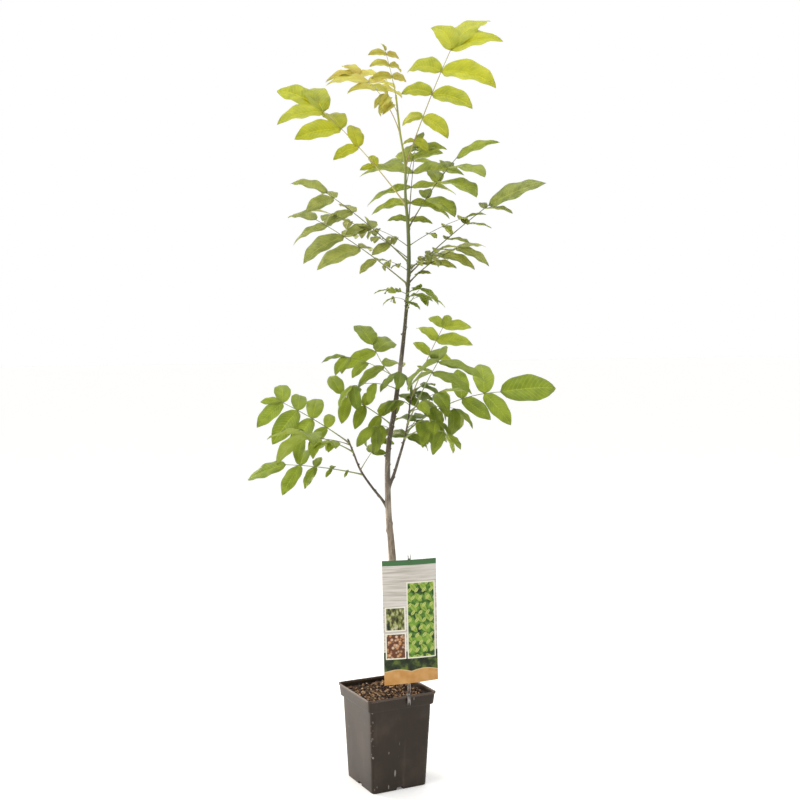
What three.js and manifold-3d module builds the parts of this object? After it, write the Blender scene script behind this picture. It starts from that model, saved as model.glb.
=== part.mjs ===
// A young walnut tree in a square nursery pot, about 1.6 m tall.
//
// One slim stem leaves the pot off centre and leans as it climbs. Two thin boughs leave it low down.
// Pinnate leaves, each a long stalk with pairs of leaflets and one at its end, stand round the stem and
// the boughs. The pot holds a firm root ball, and a printed card hangs on a stick that clips to its rim.
//
// Millimetres and degrees, +Z up. The origin is the middle of the pot's underside, and the pot's sides
// lie along X and Y. The plant has its own frame, turned about Z: there X runs along its broad side.

import * as THREE from "three";
import { mergeVertices } from "three/addons/utils/BufferGeometryUtils.js";
import Module from "manifold-3d";

const wasm = await Module();
wasm.setup();

const UP = new THREE.Vector3(0, 0, 1);
const clearance = 0.3; // between pieces that meet
const radians = THREE.MathUtils.degToRad;

// ---------------------------------------------------------------- solids

// Joins rings of points, listed anticlockwise about the way they run, into one closed body. Each end is
// closed by a fan to its point, which is the ring's own middle where none is given. Quads are split from
// their first corner, or, in an even body, from the corner with an even number.
function loft(rings, startPoint, endPoint, even = false) {
  const sides = rings[0].length;
  const middle = (ring) =>
    ring.reduce((sum, p) => sum.add(p), new THREE.Vector3()).divideScalar(sides);
  const points = rings.flat();
  const startIndex = points.push(startPoint ?? middle(rings[0])) - 1;
  const endIndex = points.push(endPoint ?? middle(rings.at(-1))) - 1;
  const lastRing = (rings.length - 1) * sides;
  const faces = [];
  for (let j = 0; j < sides; j++) {
    const k = (j + 1) % sides;
    faces.push(startIndex, k, j);
    for (let low = 0; low < lastRing; low += sides) {
      const high = low + sides;
      if (even && j % 2 === 1) {
        faces.push(low + j, low + k, high + j, low + k, high + k, high + j);
      } else {
        faces.push(low + j, low + k, high + k, low + j, high + k, high + j);
      }
    }
    faces.push(endIndex, lastRing + j, lastRing + k);
  }
  const geometry = new THREE.BufferGeometry().setFromPoints(points);
  geometry.setIndex(faces);
  return geometry;
}

function solidOf(geometry) {
  geometry.deleteAttribute("normal");
  geometry.deleteAttribute("uv");
  const merged = mergeVertices(geometry, 1e-4);
  return new wasm.Manifold(
    new wasm.Mesh({
      numProp: 3,
      vertProperties: merged.attributes.position.array,
      triVerts: new Uint32Array(merged.index.array),
    }),
  );
}

function geometryOf(solid) {
  const { vertProperties, triVerts } = solid.getMesh();
  const geometry = new THREE.BufferGeometry();
  geometry.setAttribute("position", new THREE.BufferAttribute(vertProperties, 3));
  geometry.setIndex(new THREE.BufferAttribute(triVerts, 1));
  geometry.computeVertexNormals();
  return geometry;
}

function named(name, geometry, material) {
  const mesh = new THREE.Mesh(geometry, material);
  mesh.name = name;
  return mesh;
}

// ---------------------------------------------------------------- the pot and its root ball

const pot = {
  height: 200,
  lipSide: 157, // across the lip at the top of the rim, outside
  lipHeight: 4,
  rimSide: 154, // across the band just under the lip
  rimFoot: 150, // across the foot of the band, outside
  rimBand: 26, // how deep the band is, with the lip
  shoulder: 141, // across the body just under the band
  baseSide: 125,
  corner: 9, // radius of the upright corners
  wall: 2,
  floor: 8, // above the ground
  notchWidth: 16, // drain notches, one in the foot of each side
  notchHeight: 6,
  notchDepth: 14,
};
const soilLevel = 191; // top of the root ball, a little under the rim
const cornerSteps = 4;

function squareRing(side, z) {
  const ring = [];
  for (let quarter = 0; quarter < 4; quarter++) {
    const turn = (quarter * Math.PI) / 2;
    for (let i = 0; i <= cornerSteps; i++) {
      const a = (i / cornerSteps) * (Math.PI / 2);
      const reach = side / 2 - pot.corner;
      ring.push(
        new THREE.Vector3(
          reach + pot.corner * Math.cos(a),
          reach + pot.corner * Math.sin(a),
          z,
        ).applyAxisAngle(UP, turn),
      );
    }
  }
  return ring;
}

// Across the body's outside, which tapers evenly from the shoulder to the base.
const bandFoot = pot.height - pot.rimBand;
const bodySide = (z) => pot.baseSide + ((pot.shoulder - pot.baseSide) * z) / bandFoot;
const inside = (side) => side - 2 * pot.wall;

function potSolid() {
  const outside = solidOf(
    loft([
      squareRing(pot.baseSide, 0),
      squareRing(pot.shoulder, bandFoot),
      squareRing(pot.rimFoot, bandFoot + 2),
      squareRing(pot.rimSide, pot.height - pot.lipHeight - 1),
      squareRing(pot.lipSide, pot.height - pot.lipHeight),
      squareRing(pot.lipSide, pot.height),
    ]),
  );
  const hollow = solidOf(
    loft([
      squareRing(inside(bodySide(pot.floor)), pot.floor),
      squareRing(inside(pot.shoulder), bandFoot),
      squareRing(inside(pot.rimFoot), bandFoot + 6),
      squareRing(inside(pot.rimSide) + 1, pot.height + 1),
    ]),
  );
  let shell = outside.subtract(hollow);
  for (const side of [0, 90, 180, 270]) {
    const notch = new THREE.BoxGeometry(2 * pot.notchDepth, pot.notchWidth, 2 * pot.notchHeight);
    notch.translate(pot.baseSide / 2, 0, 0).rotateZ(radians(side));
    shell = shell.subtract(solidOf(notch));
  }
  return shell;
}

function rootBallGeometry() {
  const fit = (side) => inside(side) - 2 * clearance;
  const foot = pot.floor + clearance;
  const widening = (soilLevel - bandFoot - 6) / pot.rimBand;
  return loft([
    squareRing(fit(bodySide(pot.floor)), foot),
    squareRing(fit(pot.shoulder), bandFoot),
    squareRing(fit(pot.rimFoot), bandFoot + 7),
    squareRing(fit(pot.rimFoot) + (pot.rimSide - pot.rimFoot) * widening, soilLevel),
  ]);
}

// ---------------------------------------------------------------- the stem and the boughs

const stemFoot = soilLevel + clearance;

// Height, sideways lean, depth and thickness up the stem, from its root flare to the growing tip.
const stemRows = [
  [stemFoot - 4, 20, 45, 28],
  [215, 20, 44, 20],
  [400, 15, 24, 17.5],
  [490, 11, 14, 15],
  [575, 4, 6, 13],
  [700, 4, 2, 10.5],
  [780, 16, 3, 10],
  [880, 30, 2, 9],
  [1000, 42, 0, 7],
  [1085, 46.5, 0, 8],
  [1160, 45, 1, 7.2],
  [1230, 39.5, 3, 5.6],
  [1290, 39, 3, 4.8],
  [1350, 29, 1, 4.2],
  [1430, 20, 0, 3.4],
];

// Each bough leaves the stem at a height, and runs through offsets from there: across, away and up.
const leftBough = {
  leaves: 575,
  offsets: [[-14, -2, 22], [-33, -5, 46], [-58, -9, 84], [-73, -12, 122], [-84, -15, 150]],
  thickness: [6.2, 3],
};
const rightBough = {
  leaves: 618,
  offsets: [[13, -3, 32], [22, -8, 62], [35, -14, 108], [43, -19, 150], [47, -24, 196]],
  thickness: [7, 3],
};

// A curve through rows of height, lean, depth and thickness, or through a bough's offsets.
function stemLimb() {
  const points = stemRows.map(([z, x, y]) => new THREE.Vector3(x, y, z));
  const curve = new THREE.CatmullRomCurve3(points, false, "centripetal");
  const share = points.length - 1;
  const width = (t) => {
    const row = Math.min(Math.floor(t * share), share - 1);
    const within = t * share - row;
    return THREE.MathUtils.lerp(stemRows[row][3], stemRows[row + 1][3], within);
  };
  const atHeight = (z) => {
    const row = Math.max(0, stemRows.findLastIndex(([height]) => height <= z));
    const next = Math.min(row + 1, share);
    const span = stemRows[next][0] - stemRows[row][0] || 1;
    return Math.min(1, (row + (z - stemRows[row][0]) / span) / share);
  };
  return { curve, radius: (t) => width(t) / 2, steps: 32, sides: 9, atHeight };
}

const stem = stemLimb();

function boughLimb({ leaves, offsets, thickness }) {
  const foot = stem.curve.getPoint(stem.atHeight(leaves));
  const points = offsets.map(([x, y, z]) => new THREE.Vector3(x, y, z).add(foot));
  const curve = new THREE.CatmullRomCurve3([foot, ...points], false, "centripetal");
  const radius = (t) => THREE.MathUtils.lerp(...thickness, t) / 2;
  return { curve, radius, steps: 12, sides: 7 };
}

const limbs = { stem, left: boughLimb(leftBough), right: boughLimb(rightBough) };

// A limb as a tapering tube, or with extra as the sleeve that cuts what meets it.
function limbSolid({ curve, radius, steps, sides }, extra = 0) {
  const { normals, binormals } = curve.computeFrenetFrames(steps);
  const rings = [];
  for (let i = 0; i <= steps; i++) {
    const centre = curve.getPointAt(i / steps);
    const r = radius(curve.getUtoTmapping(i / steps)) + extra;
    rings.push(ringAt(centre, normals[i], binormals[i], r, sides));
  }
  return solidOf(loft(rings));
}

function ringAt(centre, normal, binormal, radius, sides) {
  return Array.from({ length: sides }, (_, j) => {
    const a = (2 * Math.PI * j) / sides;
    return centre
      .clone()
      .addScaledVector(normal, radius * Math.cos(a))
      .addScaledVector(binormal, radius * Math.sin(a));
  });
}

// The foot is cut flat at the soil. The rows start a little below it, so that the cut is whole.
function stemSolid() {
  const block = new THREE.BoxGeometry(100, 100, 100);
  block.translate(stemRows[0][1], stemRows[0][2], stemFoot - 50);
  return limbSolid(stem).subtract(solidOf(block));
}

// ---------------------------------------------------------------- the leaves

// What most leaves share. Bearing is the way a leaf points, 0 across to the right and 90 away. Reach and
// rise are from the foot of its stalk to the foot of the end leaflet, and arch is how far the stalk bows
// up between. The pairs of leaflets stand from first to last, as shares of the stalk, and blades are
// their lengths from the stem outwards, then that of the end leaflet. Roll turns the whole leaf about its
// stalk, its right side up. Spread is the angle between a leaflet and the stalk, and tipSpread what it
// comes to at the last pair. Swing turns both sides' leaflets clockwise in the leaf's plane, tipTurn the
// end leaflet, and left is the left ones' length as a share of the right ones'. Skyward turns each
// leaflet about its midrib, its face to the sky. Droop, curl, sickle and fold shape the leaflets: how far
// they hang from the leaf's plane, bend down along their length, curve in their own plane towards the
// leaf's foot, and close like a book. TipSickle curves the end leaflet.
const usualLeaf = {
  limb: "stem",
  arch: 8,
  first: 0.3,
  last: 0.93,
  left: 1,
  roll: 0,
  spread: 66,
  swing: 0,
  tipTurn: 0,
  skyward: 0,
  droop: 18,
  curl: 40,
  sickle: 0,
  tipSickle: 0,
  fold: 12,
  stalk: 3.4,
};

const leafRows = {
  // round the growing tip: young, small and limp
  leaf_tip_upright: {
    at: 1424, bearing: 125, reach: 40, rise: 104, arch: 2, stalk: 2.4, first: 0.42, last: 0.9,
    blades: [46, 46, 42, 26], spread: 74, droop: 0, curl: 30, sickle: 30, fold: 24, seed: 4,
  },
  leaf_tip_left: {
    at: 1352, bearing: 129, reach: 138, rise: 140, arch: 16, stalk: 2.6, first: 0.64, last: 0.97,
    blades: [72, 88, 80, 76], roll: 16, spread: 58, swing: 20, droop: -4, curl: 22, sickle: 20,
    fold: 22, seed: 9,
  },
  leaf_tip_right: {
    at: 1392, bearing: 222, reach: 30, rise: 40, arch: 1, stalk: 2, first: 0.5, last: 0.85,
    blades: [50, 50, 56], spread: 70, droop: 50, curl: 40, sickle: 10, fold: 30, seed: 2,
  },
  // the upper crown, from the top down
  leaf_top_right: {
    at: 1285, bearing: 50, reach: 157, rise: 270, arch: 5, first: 0.2, last: 0.97,
    blades: [46, 80, 106, 132, 130, 132], left: 0.72, roll: -20, spread: 86, tipSpread: 28,
    swing: 8, tipTurn: 4, droop: -4, curl: 30, sickle: 48, tipSickle: -26, seed: 3,
  },
  leaf_top_left: {
    at: 1205, bearing: 150, reach: 219, rise: 223, first: 0.36, last: 0.93,
    blades: [44, 78, 118, 118, 132], left: 0.86, roll: 34, spread: 46, tipSpread: 40, swing: -22,
    tipTurn: -8, droop: 0, curl: 24, sickle: 10, seed: 5,
  },
  leaf_back_high: {
    at: 1151, bearing: 85, reach: 165, rise: 171, arch: 10, first: 0.13, last: 0.97,
    blades: [54, 88, 102, 114, 84, 60], left: 1.04, spread: 70, tipTurn: 10, skyward: 14, droop: 2,
    curl: 24, sickle: 24, seed: 7,
  },
  leaf_back_right: {
    at: 1158, bearing: 24, reach: 112, rise: 152, arch: 5, first: 0.4, last: 0.84,
    blades: [106, 122, 120, 92], left: 0.6, roll: -13, spread: 62, swing: 18, tipTurn: 40,
    skyward: 40, droop: 2, curl: 26, sickle: 16, fold: 12, seed: 6,
  },
  leaf_far_right: {
    at: 1063, bearing: -8, reach: 166, rise: 141, arch: 4, first: 0.26, last: 0.94,
    blades: [46, 56, 62, 70, 140], left: 0.6, roll: -40, spread: 60, swing: -16, tipTurn: 8,
    skyward: 40, droop: 0, curl: 20, fold: 8, seed: 8,
  },
  leaf_low_right: {
    at: 1044, bearing: 30, reach: 127, rise: 80, first: 0.22, last: 0.92,
    blades: [30, 62, 74, 78, 68], roll: -16, spread: 58, swing: -15, droop: 8, curl: 24, seed: 11,
  },
  leaf_far_left: {
    at: 1088, bearing: 160, reach: 184, rise: 150, arch: 6, first: 0.24, last: 0.92,
    blades: [46, 68, 72, 74, 88], roll: 20, spread: 60, swing: -12, droop: 4, curl: 30, seed: 12,
  },
  leaf_low_left: {
    at: 1042, bearing: 146, reach: 240, rise: 146, arch: 6, first: 0.34, last: 0.87,
    blades: [34, 66, 70, 66, 86], left: 1.55, roll: 26, spread: 74, tipSpread: 48, droop: 8,
    curl: 34, seed: 13,
  },
  leaf_front_small: {
    at: 988, bearing: -62, reach: 62, rise: 46, arch: 4, stalk: 2.6, first: 0.3, last: 0.95,
    blades: [26, 40, 48, 48], tipTurn: 50, droop: 16, sickle: 16, seed: 14,
  },
  // on and beside the left bough
  leaf_left_fan: {
    limb: "left", at: 0.93, bearing: 165, reach: 151, rise: 84, arch: 4, first: 0.34, last: 0.97,
    blades: [50, 78, 84, 72, 44], left: 1.15, roll: 42, spread: 80, tipSpread: 60, swing: -6,
    tipTurn: -20, droop: 0, curl: 24, fold: 8, seed: 15,
  },
  leaf_left_low: {
    limb: "left", at: 0.55, bearing: 165, reach: 172, rise: 16, arch: 4, first: 0.2, last: 0.8,
    blades: [14, 26, 50, 74, 90], roll: 40, spread: 74, tipTurn: -14, droop: 6, curl: 26, fold: 8,
    seed: 16,
  },
  leaf_left_front: {
    limb: "left", at: 0.8, bearing: 214, reach: 118, rise: 44, arch: 5, first: 0.45, last: 0.94,
    blades: [58, 100, 100], roll: -24, spread: 62, droop: 12, curl: 30, seed: 17,
  },
  leaf_left_sprig: {
    limb: "left", at: 0.6, bearing: 24, reach: 54, rise: 70, arch: 2, stalk: 2.2, first: 0.5,
    last: 0.84, blades: [34, 34, 36], roll: -30, droop: 2, curl: 20, seed: 18,
  },
  // low on the stem, over the left bough
  leaf_inner_low: {
    at: 752, bearing: 162, reach: 114, rise: 64, arch: 5, first: 0.25, last: 0.86,
    blades: [56, 60, 62, 76], roll: 44, spread: 92, swing: -8, tipTurn: 40, droop: 4, curl: 26,
    seed: 19,
  },
  leaf_inner_high: {
    at: 846, bearing: 114, reach: 136, rise: 74, arch: -12, first: 0.18, last: 0.86,
    blades: [60, 92, 98, 90], left: 0.75, roll: 10, spread: 78, swing: -30, tipTurn: -6, droop: 2,
    curl: 26, seed: 20,
  },
  // on and behind the right bough
  leaf_right_young: {
    limb: "right", at: 0.97, bearing: 60, reach: 149, rise: 153, arch: 4, stalk: 2.8, first: 0.38,
    last: 0.97, blades: [22, 56, 84, 64, 44], left: 0.9, roll: -30, spread: 62, tipSpread: 50,
    swing: 8, droop: -4, curl: 26, sickle: 14, seed: 21,
  },
  leaf_right_front: {
    limb: "right", at: 0.74, bearing: -58, reach: 116, rise: 136, arch: 4, first: 0.8, last: 0.97,
    blades: [88, 112, 84], roll: 2, spread: 86, tipTurn: 30, skyward: 20, droop: 14, curl: 24,
    fold: 14, seed: 22,
  },
  leaf_right_long: {
    limb: "right", at: 0.66, bearing: 12, reach: 205, rise: 82, arch: 20, first: 0.4, last: 0.84,
    blades: [36, 72, 86, 140], left: 1.25, roll: -58, spread: 66, swing: -6, tipTurn: -6, droop: 0,
    curl: 22, fold: 8, seed: 23,
  },
  leaf_right_hanging: {
    limb: "right", at: 0.6, bearing: -40, reach: 114, rise: 16, arch: 14, first: 0.58, last: 0.9,
    blades: [48, 52, 44], spread: 70, droop: 34, curl: 24, seed: 24,
  },
  leaf_back_low: {
    limb: "right", at: 0.5, bearing: 66, reach: 84, rise: 60, arch: 6, first: 0.35, last: 0.88,
    blades: [62, 70, 60], roll: -16, droop: 10, seed: 25,
  },
  leaf_right_back: {
    limb: "right", at: 0.86, bearing: 56, reach: 110, rise: 22, arch: 6, first: 0.25, last: 0.85,
    blades: [70, 64, 56, 50], roll: -36, droop: 6, curl: 30, seed: 26,
  },
};

// A repeatable run of numbers from -1 to 1.
function randomRun(seed) {
  let state = (seed * 7919) % 4294967296;
  return () => {
    state = (state * 1664525 + 1013904223) % 4294967296;
    return state / 2147483648 - 1;
  };
}

const leafletWidth = 0.46; // of its length
const leafletThickness = 0.016; // of its length, along the midrib
const leafletStations = [0, 0.22, 0.5, 0.78];
const shortStations = [0, 0.3, 0.7]; // of a leaflet under 70 mm
const leafletOutline = (s) => Math.sin(Math.PI * s ** 0.85) ** 0.7;
const bendLead = 0.12; // a leaflet's bend has begun by this share of it at its foot
const stalkSides = 5;
const stalkSteps = 5;
const stalkTip = 0.45; // thickness of the stalk's end, as a share of its foot
const sliver = 0.05; // edges that a cut leaves shorter than this are closed up

// One leaflet: a blade whose midrib starts at root along forward. It curves aside in its own plane
// by sickle, and the whole bends down by curl.
function leafletSolid({ root, forward, normal, length, curl, sickle, twist, fold, footWidth }) {
  const left = normal.clone().cross(forward);
  const start = curl * bendLead;
  const spot = (ahead, aside, above) => {
    const angle = start + (curl * ahead) / length;
    const run = ((Math.sin(angle) - Math.sin(start)) * length) / curl;
    const drop = ((Math.cos(start) - Math.cos(angle)) * length) / curl;
    const point = root.clone().addScaledVector(forward, run + above * Math.sin(angle));
    return point.addScaledVector(normal, above * Math.cos(angle) - drop).addScaledVector(left, aside);
  };
  const onBlade = (s, sideways, upward) => {
    const turned = sickle * s;
    const ahead = s * length * (1 - turned ** 2 / 6) - sideways * Math.sin(turned);
    const aside = (turned * s * length * (1 - turned ** 2 / 12)) / 2 + sideways * Math.cos(turned);
    return spot(ahead, aside, upward);
  };
  const rings = (length < 70 ? shortStations : leafletStations).map((s) => {
    const half = Math.max((leafletOutline(s) * leafletWidth * length) / 2, footWidth / 2);
    const rise = half * Math.sin(fold * Math.min(1, 5 * s));
    const edge = half * Math.cos(fold * Math.min(1, 5 * s));
    const thick = (length * leafletThickness * (1.1 - 0.5 * s)) / 2;
    const at = (sideways, upward) =>
      onBlade(
        s,
        sideways * Math.cos(twist * s) - upward * Math.sin(twist * s),
        sideways * Math.sin(twist * s) + upward * Math.cos(twist * s),
      );
    return [at(edge, rise), at(0, thick), at(-edge, rise), at(0, -thick)];
  });
  return solidOf(loft(rings, undefined, onBlade(1, 0, 0), true));
}

function leafSolid(given) {
  const leaf = { ...usualLeaf, ...given };
  const limb = limbs[leaf.limb];
  const vary = randomRun(leaf.seed);
  const foot = limb.curve.getPoint(limb.atHeight ? limb.atHeight(leaf.at) : leaf.at);
  const outward = new THREE.Vector3(1, 0, 0).applyAxisAngle(UP, radians(leaf.bearing));
  const end = foot.clone().addScaledVector(outward, leaf.reach).addScaledVector(UP, leaf.rise);
  const chord = end.clone().sub(foot).normalize();
  const bow = chord.clone().cross(UP).cross(chord).normalize();
  const middle = foot.clone().lerp(end, 0.5).addScaledVector(bow, 2 * leaf.arch);
  const curve = new THREE.QuadraticBezierCurve3(foot, middle, end);
  const thickness = (s) => leaf.stalk * THREE.MathUtils.lerp(1, stalkTip, Math.sqrt(s));

  const frames = (s) => {
    const along = curve.getTangent(s);
    const right = along.clone().cross(UP).normalize().applyAxisAngle(along, -radians(leaf.roll));
    return { along, right, top: right.clone().cross(along) };
  };
  const rings = [];
  for (let i = 0; i <= stalkSteps; i++) {
    const s = i / stalkSteps;
    const { along, top } = frames(s);
    rings.push(
      ringAt(curve.getPoint(s), top, along.clone().cross(top), thickness(s) / 2, stalkSides),
    );
  }
  const pieces = [solidOf(loft(rings))];

  const addLeaflet = (s, side, blade) => {
    const { along, right, top } = frames(s);
    const closing = ((s - leaf.first) / (leaf.last - leaf.first)) ** 4;
    const open = THREE.MathUtils.lerp(leaf.spread, leaf.tipSpread ?? leaf.spread, closing);
    const spread = side * radians(open + 8 * vary()) + Math.abs(side) * radians(leaf.swing);
    const droop = radians(leaf.droop + 10 * vary()) * (side === 0 ? 0.4 : 1);
    const length = blade * (1 + 0.1 * vary()) * (side < 0 ? leaf.left : 1);
    const curl = leaf.curl * (side === 0 ? 0.6 : 1) * (1 + 0.4 * vary());
    const loose = vary();
    const sickle = side === 0 ? leaf.tipSickle : -side * leaf.sickle * (1 + 0.4 * loose);
    const turn = side === 0 ? radians(leaf.tipTurn) : spread;
    const flat = along.clone().multiplyScalar(Math.cos(turn));
    flat.addScaledVector(right, Math.sin(turn));
    const forward = flat.clone().multiplyScalar(Math.cos(droop)).addScaledVector(top, -Math.sin(droop));
    const normal = top.clone().multiplyScalar(Math.cos(droop)).addScaledVector(flat, Math.sin(droop));
    pieces.push(
      leafletSolid({
        root: curve.getPoint(s).addScaledVector(along, side === 0 ? -2 : 0),
        forward,
        normal: normal.applyAxisAngle(forward, -side * radians(leaf.skyward)),
        length,
        curl: radians(curl),
        sickle: radians(sickle),
        twist: radians(16 * loose),
        fold: radians(leaf.fold * (1 + 0.5 * vary())),
        footWidth: thickness(s) * 0.8,
      }),
    );
  };
  const pairs = leaf.blades.length - 1;
  for (let i = 0; i < pairs; i++) {
    const s = THREE.MathUtils.lerp(leaf.first, leaf.last, pairs > 1 ? i / (pairs - 1) : 1);
    addLeaflet(s, 1, leaf.blades[i]);
    addLeaflet(s, -1, leaf.blades[i]);
  }
  addLeaflet(1, 0, leaf.blades[pairs]);
  return wasm.Manifold.union(pieces).subtract(sleeves[leaf.limb]).simplify(sliver);
}

const sleeves = Object.fromEntries(
  Object.entries(limbs).map(([name, limb]) => [name, limbSolid(limb, clearance)]),
);

// ---------------------------------------------------------------- the card and its stick

// Both stand in a frame whose Y axis points back from the card, with its origin on the stick's front.
const label = {
  x: 11, // where the stick stands along the pot's front
  turn: -15, // the card from the pot's front
  width: 113,
  height: 257, // down the left edge
  slant: 4, // how much shorter the right edge is
  lean: 1.2, // to the right at the foot
  thickness: 0.9,
  bulge: 4, // how far the middle stands forward
  top: 483,
};
const stick = {
  strandRadius: 1,
  strandGap: 4.4, // between the middles of its two strands
  foot: 180,
  prong: 12, // above the card
  hookWidth: 7,
  hookDrop: 7, // inside the rim
  hookGap: 7, // between the strands' plate and the hook's leg
  plate: 2,
  claspWidth: 2.4,
  claspDrop: 4, // down the front of the card
};

function boxSolid(fromX, toX, fromY, toY, fromZ, toZ) {
  const box = new THREE.BoxGeometry(toX - fromX, toY - fromY, toZ - fromZ);
  return solidOf(box.translate((fromX + toX) / 2, (fromY + toY) / 2, (fromZ + toZ) / 2));
}

function strandSolid(x) {
  const height = label.top + stick.prong - stick.foot;
  const strand = new THREE.CylinderGeometry(stick.strandRadius, stick.strandRadius, height, 8);
  strand.rotateX(Math.PI / 2);
  return solidOf(strand.translate(x, stick.strandRadius, stick.foot + height / 2));
}

// Two strands behind the card. A plate joins them at the rim, where a hook goes over, and a bridge at
// the head, where a small clasp holds the card's top edge.
function stickSolid() {
  const half = stick.hookWidth / 2;
  const apart = stick.strandGap / 2;
  const back = 2 * stick.strandRadius;
  const inner = back + stick.hookGap;
  const front = -label.thickness - 2 * clearance;
  const rimTop = pot.height + clearance;
  const head = label.top + clearance;
  const clasp = stick.claspWidth / 2;
  return wasm.Manifold.union([
    strandSolid(-apart),
    strandSolid(apart),
    boxSolid(-half, half, 0, back, rimTop - 14, rimTop + 2),
    boxSolid(-half, half, back - 1, inner + stick.plate, rimTop, rimTop + 2),
    boxSolid(-half, half, inner, inner + stick.plate, rimTop - stick.hookDrop, rimTop + 1),
    boxSolid(-apart, apart, 0.2, back - 0.2, head, head + 2),
    boxSolid(-clasp, clasp, front - 1.4, 1, head + 0.1, head + 1.9),
    boxSolid(-clasp, clasp, front - 1.4, front, label.top - stick.claspDrop, head + 1),
  ]);
}

function cardSolid() {
  const radius = (label.width ** 2 / 4 + label.bulge ** 2) / (2 * label.bulge);
  const half = Math.asin(label.width / 2 / radius);
  const facing = -Math.PI / 2;
  const band = new THREE.Shape();
  band.absarc(0, radius, radius, facing - half, facing + half, false);
  band.absarc(0, radius, radius - label.thickness, facing + half, facing - half, true);
  band.closePath();
  const sheet = new THREE.ExtrudeGeometry(band, {
    depth: label.height,
    bevelEnabled: false,
    curveSegments: 10,
  });
  sheet.translate(0, 0, -label.height);
  const below = -2 * label.height;
  const foot = new THREE.Shape([
    new THREE.Vector2(-label.width, below),
    new THREE.Vector2(label.width, below),
    new THREE.Vector2(label.width, -label.height + label.slant * 1.5),
    new THREE.Vector2(-label.width, -label.height - label.slant / 2),
  ]);
  const cut = new THREE.ExtrudeGeometry(foot, { depth: 60, bevelEnabled: false });
  cut.rotateX(Math.PI / 2).translate(0, 30, 0);
  const leaning = new THREE.Matrix4().makeRotationY(-radians(label.lean));
  const shape = geometryOf(solidOf(sheet).subtract(solidOf(cut)));
  return solidOf(shape.applyMatrix4(leaning).translate(0, -label.thickness - clearance, label.top));
}

// ---------------------------------------------------------------- the whole

const plastic = new THREE.MeshStandardMaterial({ color: 0x35322f, roughness: 0.5 });
const compost = new THREE.MeshStandardMaterial({ color: 0x4a3524, roughness: 0.95 });
const bark = new THREE.MeshStandardMaterial({ color: 0x857a6b, roughness: 0.85 });
const youngBark = new THREE.MeshStandardMaterial({ color: 0x4b4236, roughness: 0.8 });
const foliage = new THREE.MeshStandardMaterial({ color: 0x88a52b, roughness: 0.5 });
const print = new THREE.MeshStandardMaterial({ color: 0x8fa05a, roughness: 0.4 });

const plantTurn = -27; // the plant's broad side, from the pot's front
const signGap = 1.2; // between the turned stick and the rim

const plant = new THREE.Group();
plant.rotation.z = radians(plantTurn);
plant.add(named("stem", geometryOf(stemSolid()), bark));
plant.add(named("bough_left", geometryOf(limbSolid(limbs.left).subtract(sleeves.stem)), youngBark));
plant.add(named("bough_right", geometryOf(limbSolid(limbs.right).subtract(sleeves.stem)), youngBark));
for (const [name, row] of Object.entries(leafRows)) {
  plant.add(named(name, geometryOf(leafSolid(row)), foliage));
}

const sign = new THREE.Group();
sign.position.set(label.x, -pot.lipSide / 2 - 2 * stick.strandRadius - signGap, 0);
sign.rotation.z = radians(label.turn);
sign.add(named("label_stick", geometryOf(stickSolid()), plastic));
sign.add(named("label_card", geometryOf(cardSolid()), print));

const tree = new THREE.Group();
tree.add(named("pot", geometryOf(potSolid()), plastic));
tree.add(named("root_ball", rootBallGeometry(), compost));
tree.add(plant);
tree.add(sign);

export default tree;
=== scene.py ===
import math
import random

import bpy
from mathutils import Matrix, Vector, noise


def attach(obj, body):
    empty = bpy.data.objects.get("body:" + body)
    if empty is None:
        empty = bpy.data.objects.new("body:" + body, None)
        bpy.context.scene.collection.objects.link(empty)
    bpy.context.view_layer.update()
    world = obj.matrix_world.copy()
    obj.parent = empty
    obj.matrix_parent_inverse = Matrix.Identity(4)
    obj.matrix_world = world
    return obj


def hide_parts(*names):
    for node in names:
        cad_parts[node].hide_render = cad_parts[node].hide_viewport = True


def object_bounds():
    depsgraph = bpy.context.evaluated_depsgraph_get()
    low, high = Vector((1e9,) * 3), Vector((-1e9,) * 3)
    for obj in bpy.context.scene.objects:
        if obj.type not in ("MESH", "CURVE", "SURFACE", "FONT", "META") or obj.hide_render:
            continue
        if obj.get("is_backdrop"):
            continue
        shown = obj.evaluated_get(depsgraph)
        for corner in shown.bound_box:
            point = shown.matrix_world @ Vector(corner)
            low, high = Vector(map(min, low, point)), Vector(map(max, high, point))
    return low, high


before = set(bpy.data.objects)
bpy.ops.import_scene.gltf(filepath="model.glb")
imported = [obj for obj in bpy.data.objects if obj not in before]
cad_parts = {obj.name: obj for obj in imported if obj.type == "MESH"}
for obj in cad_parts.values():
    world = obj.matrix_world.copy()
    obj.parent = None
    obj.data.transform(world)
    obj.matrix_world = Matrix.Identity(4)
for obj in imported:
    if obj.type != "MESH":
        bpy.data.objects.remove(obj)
cad_low, cad_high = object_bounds()


# ------------------------------------------------------------------ the pot
# A square nursery pot, moulded in one piece from black recycled plastic. Its thin walls taper to the
# foot, a deep band with a rolled lip stiffens the rim, and a drain notch opens in the foot of each side.

MM = 0.001
pot_corner = 9.0
pot_base, pot_shoulder = 125.0, 141.0  # the side at the ground and just below the band
pot_band = 174.0  # where the band begins


def wall_side(height):
    """The pot's side, outside, at a height below the band."""
    return pot_base + (pot_shoulder - pot_base) * height / pot_band


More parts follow.
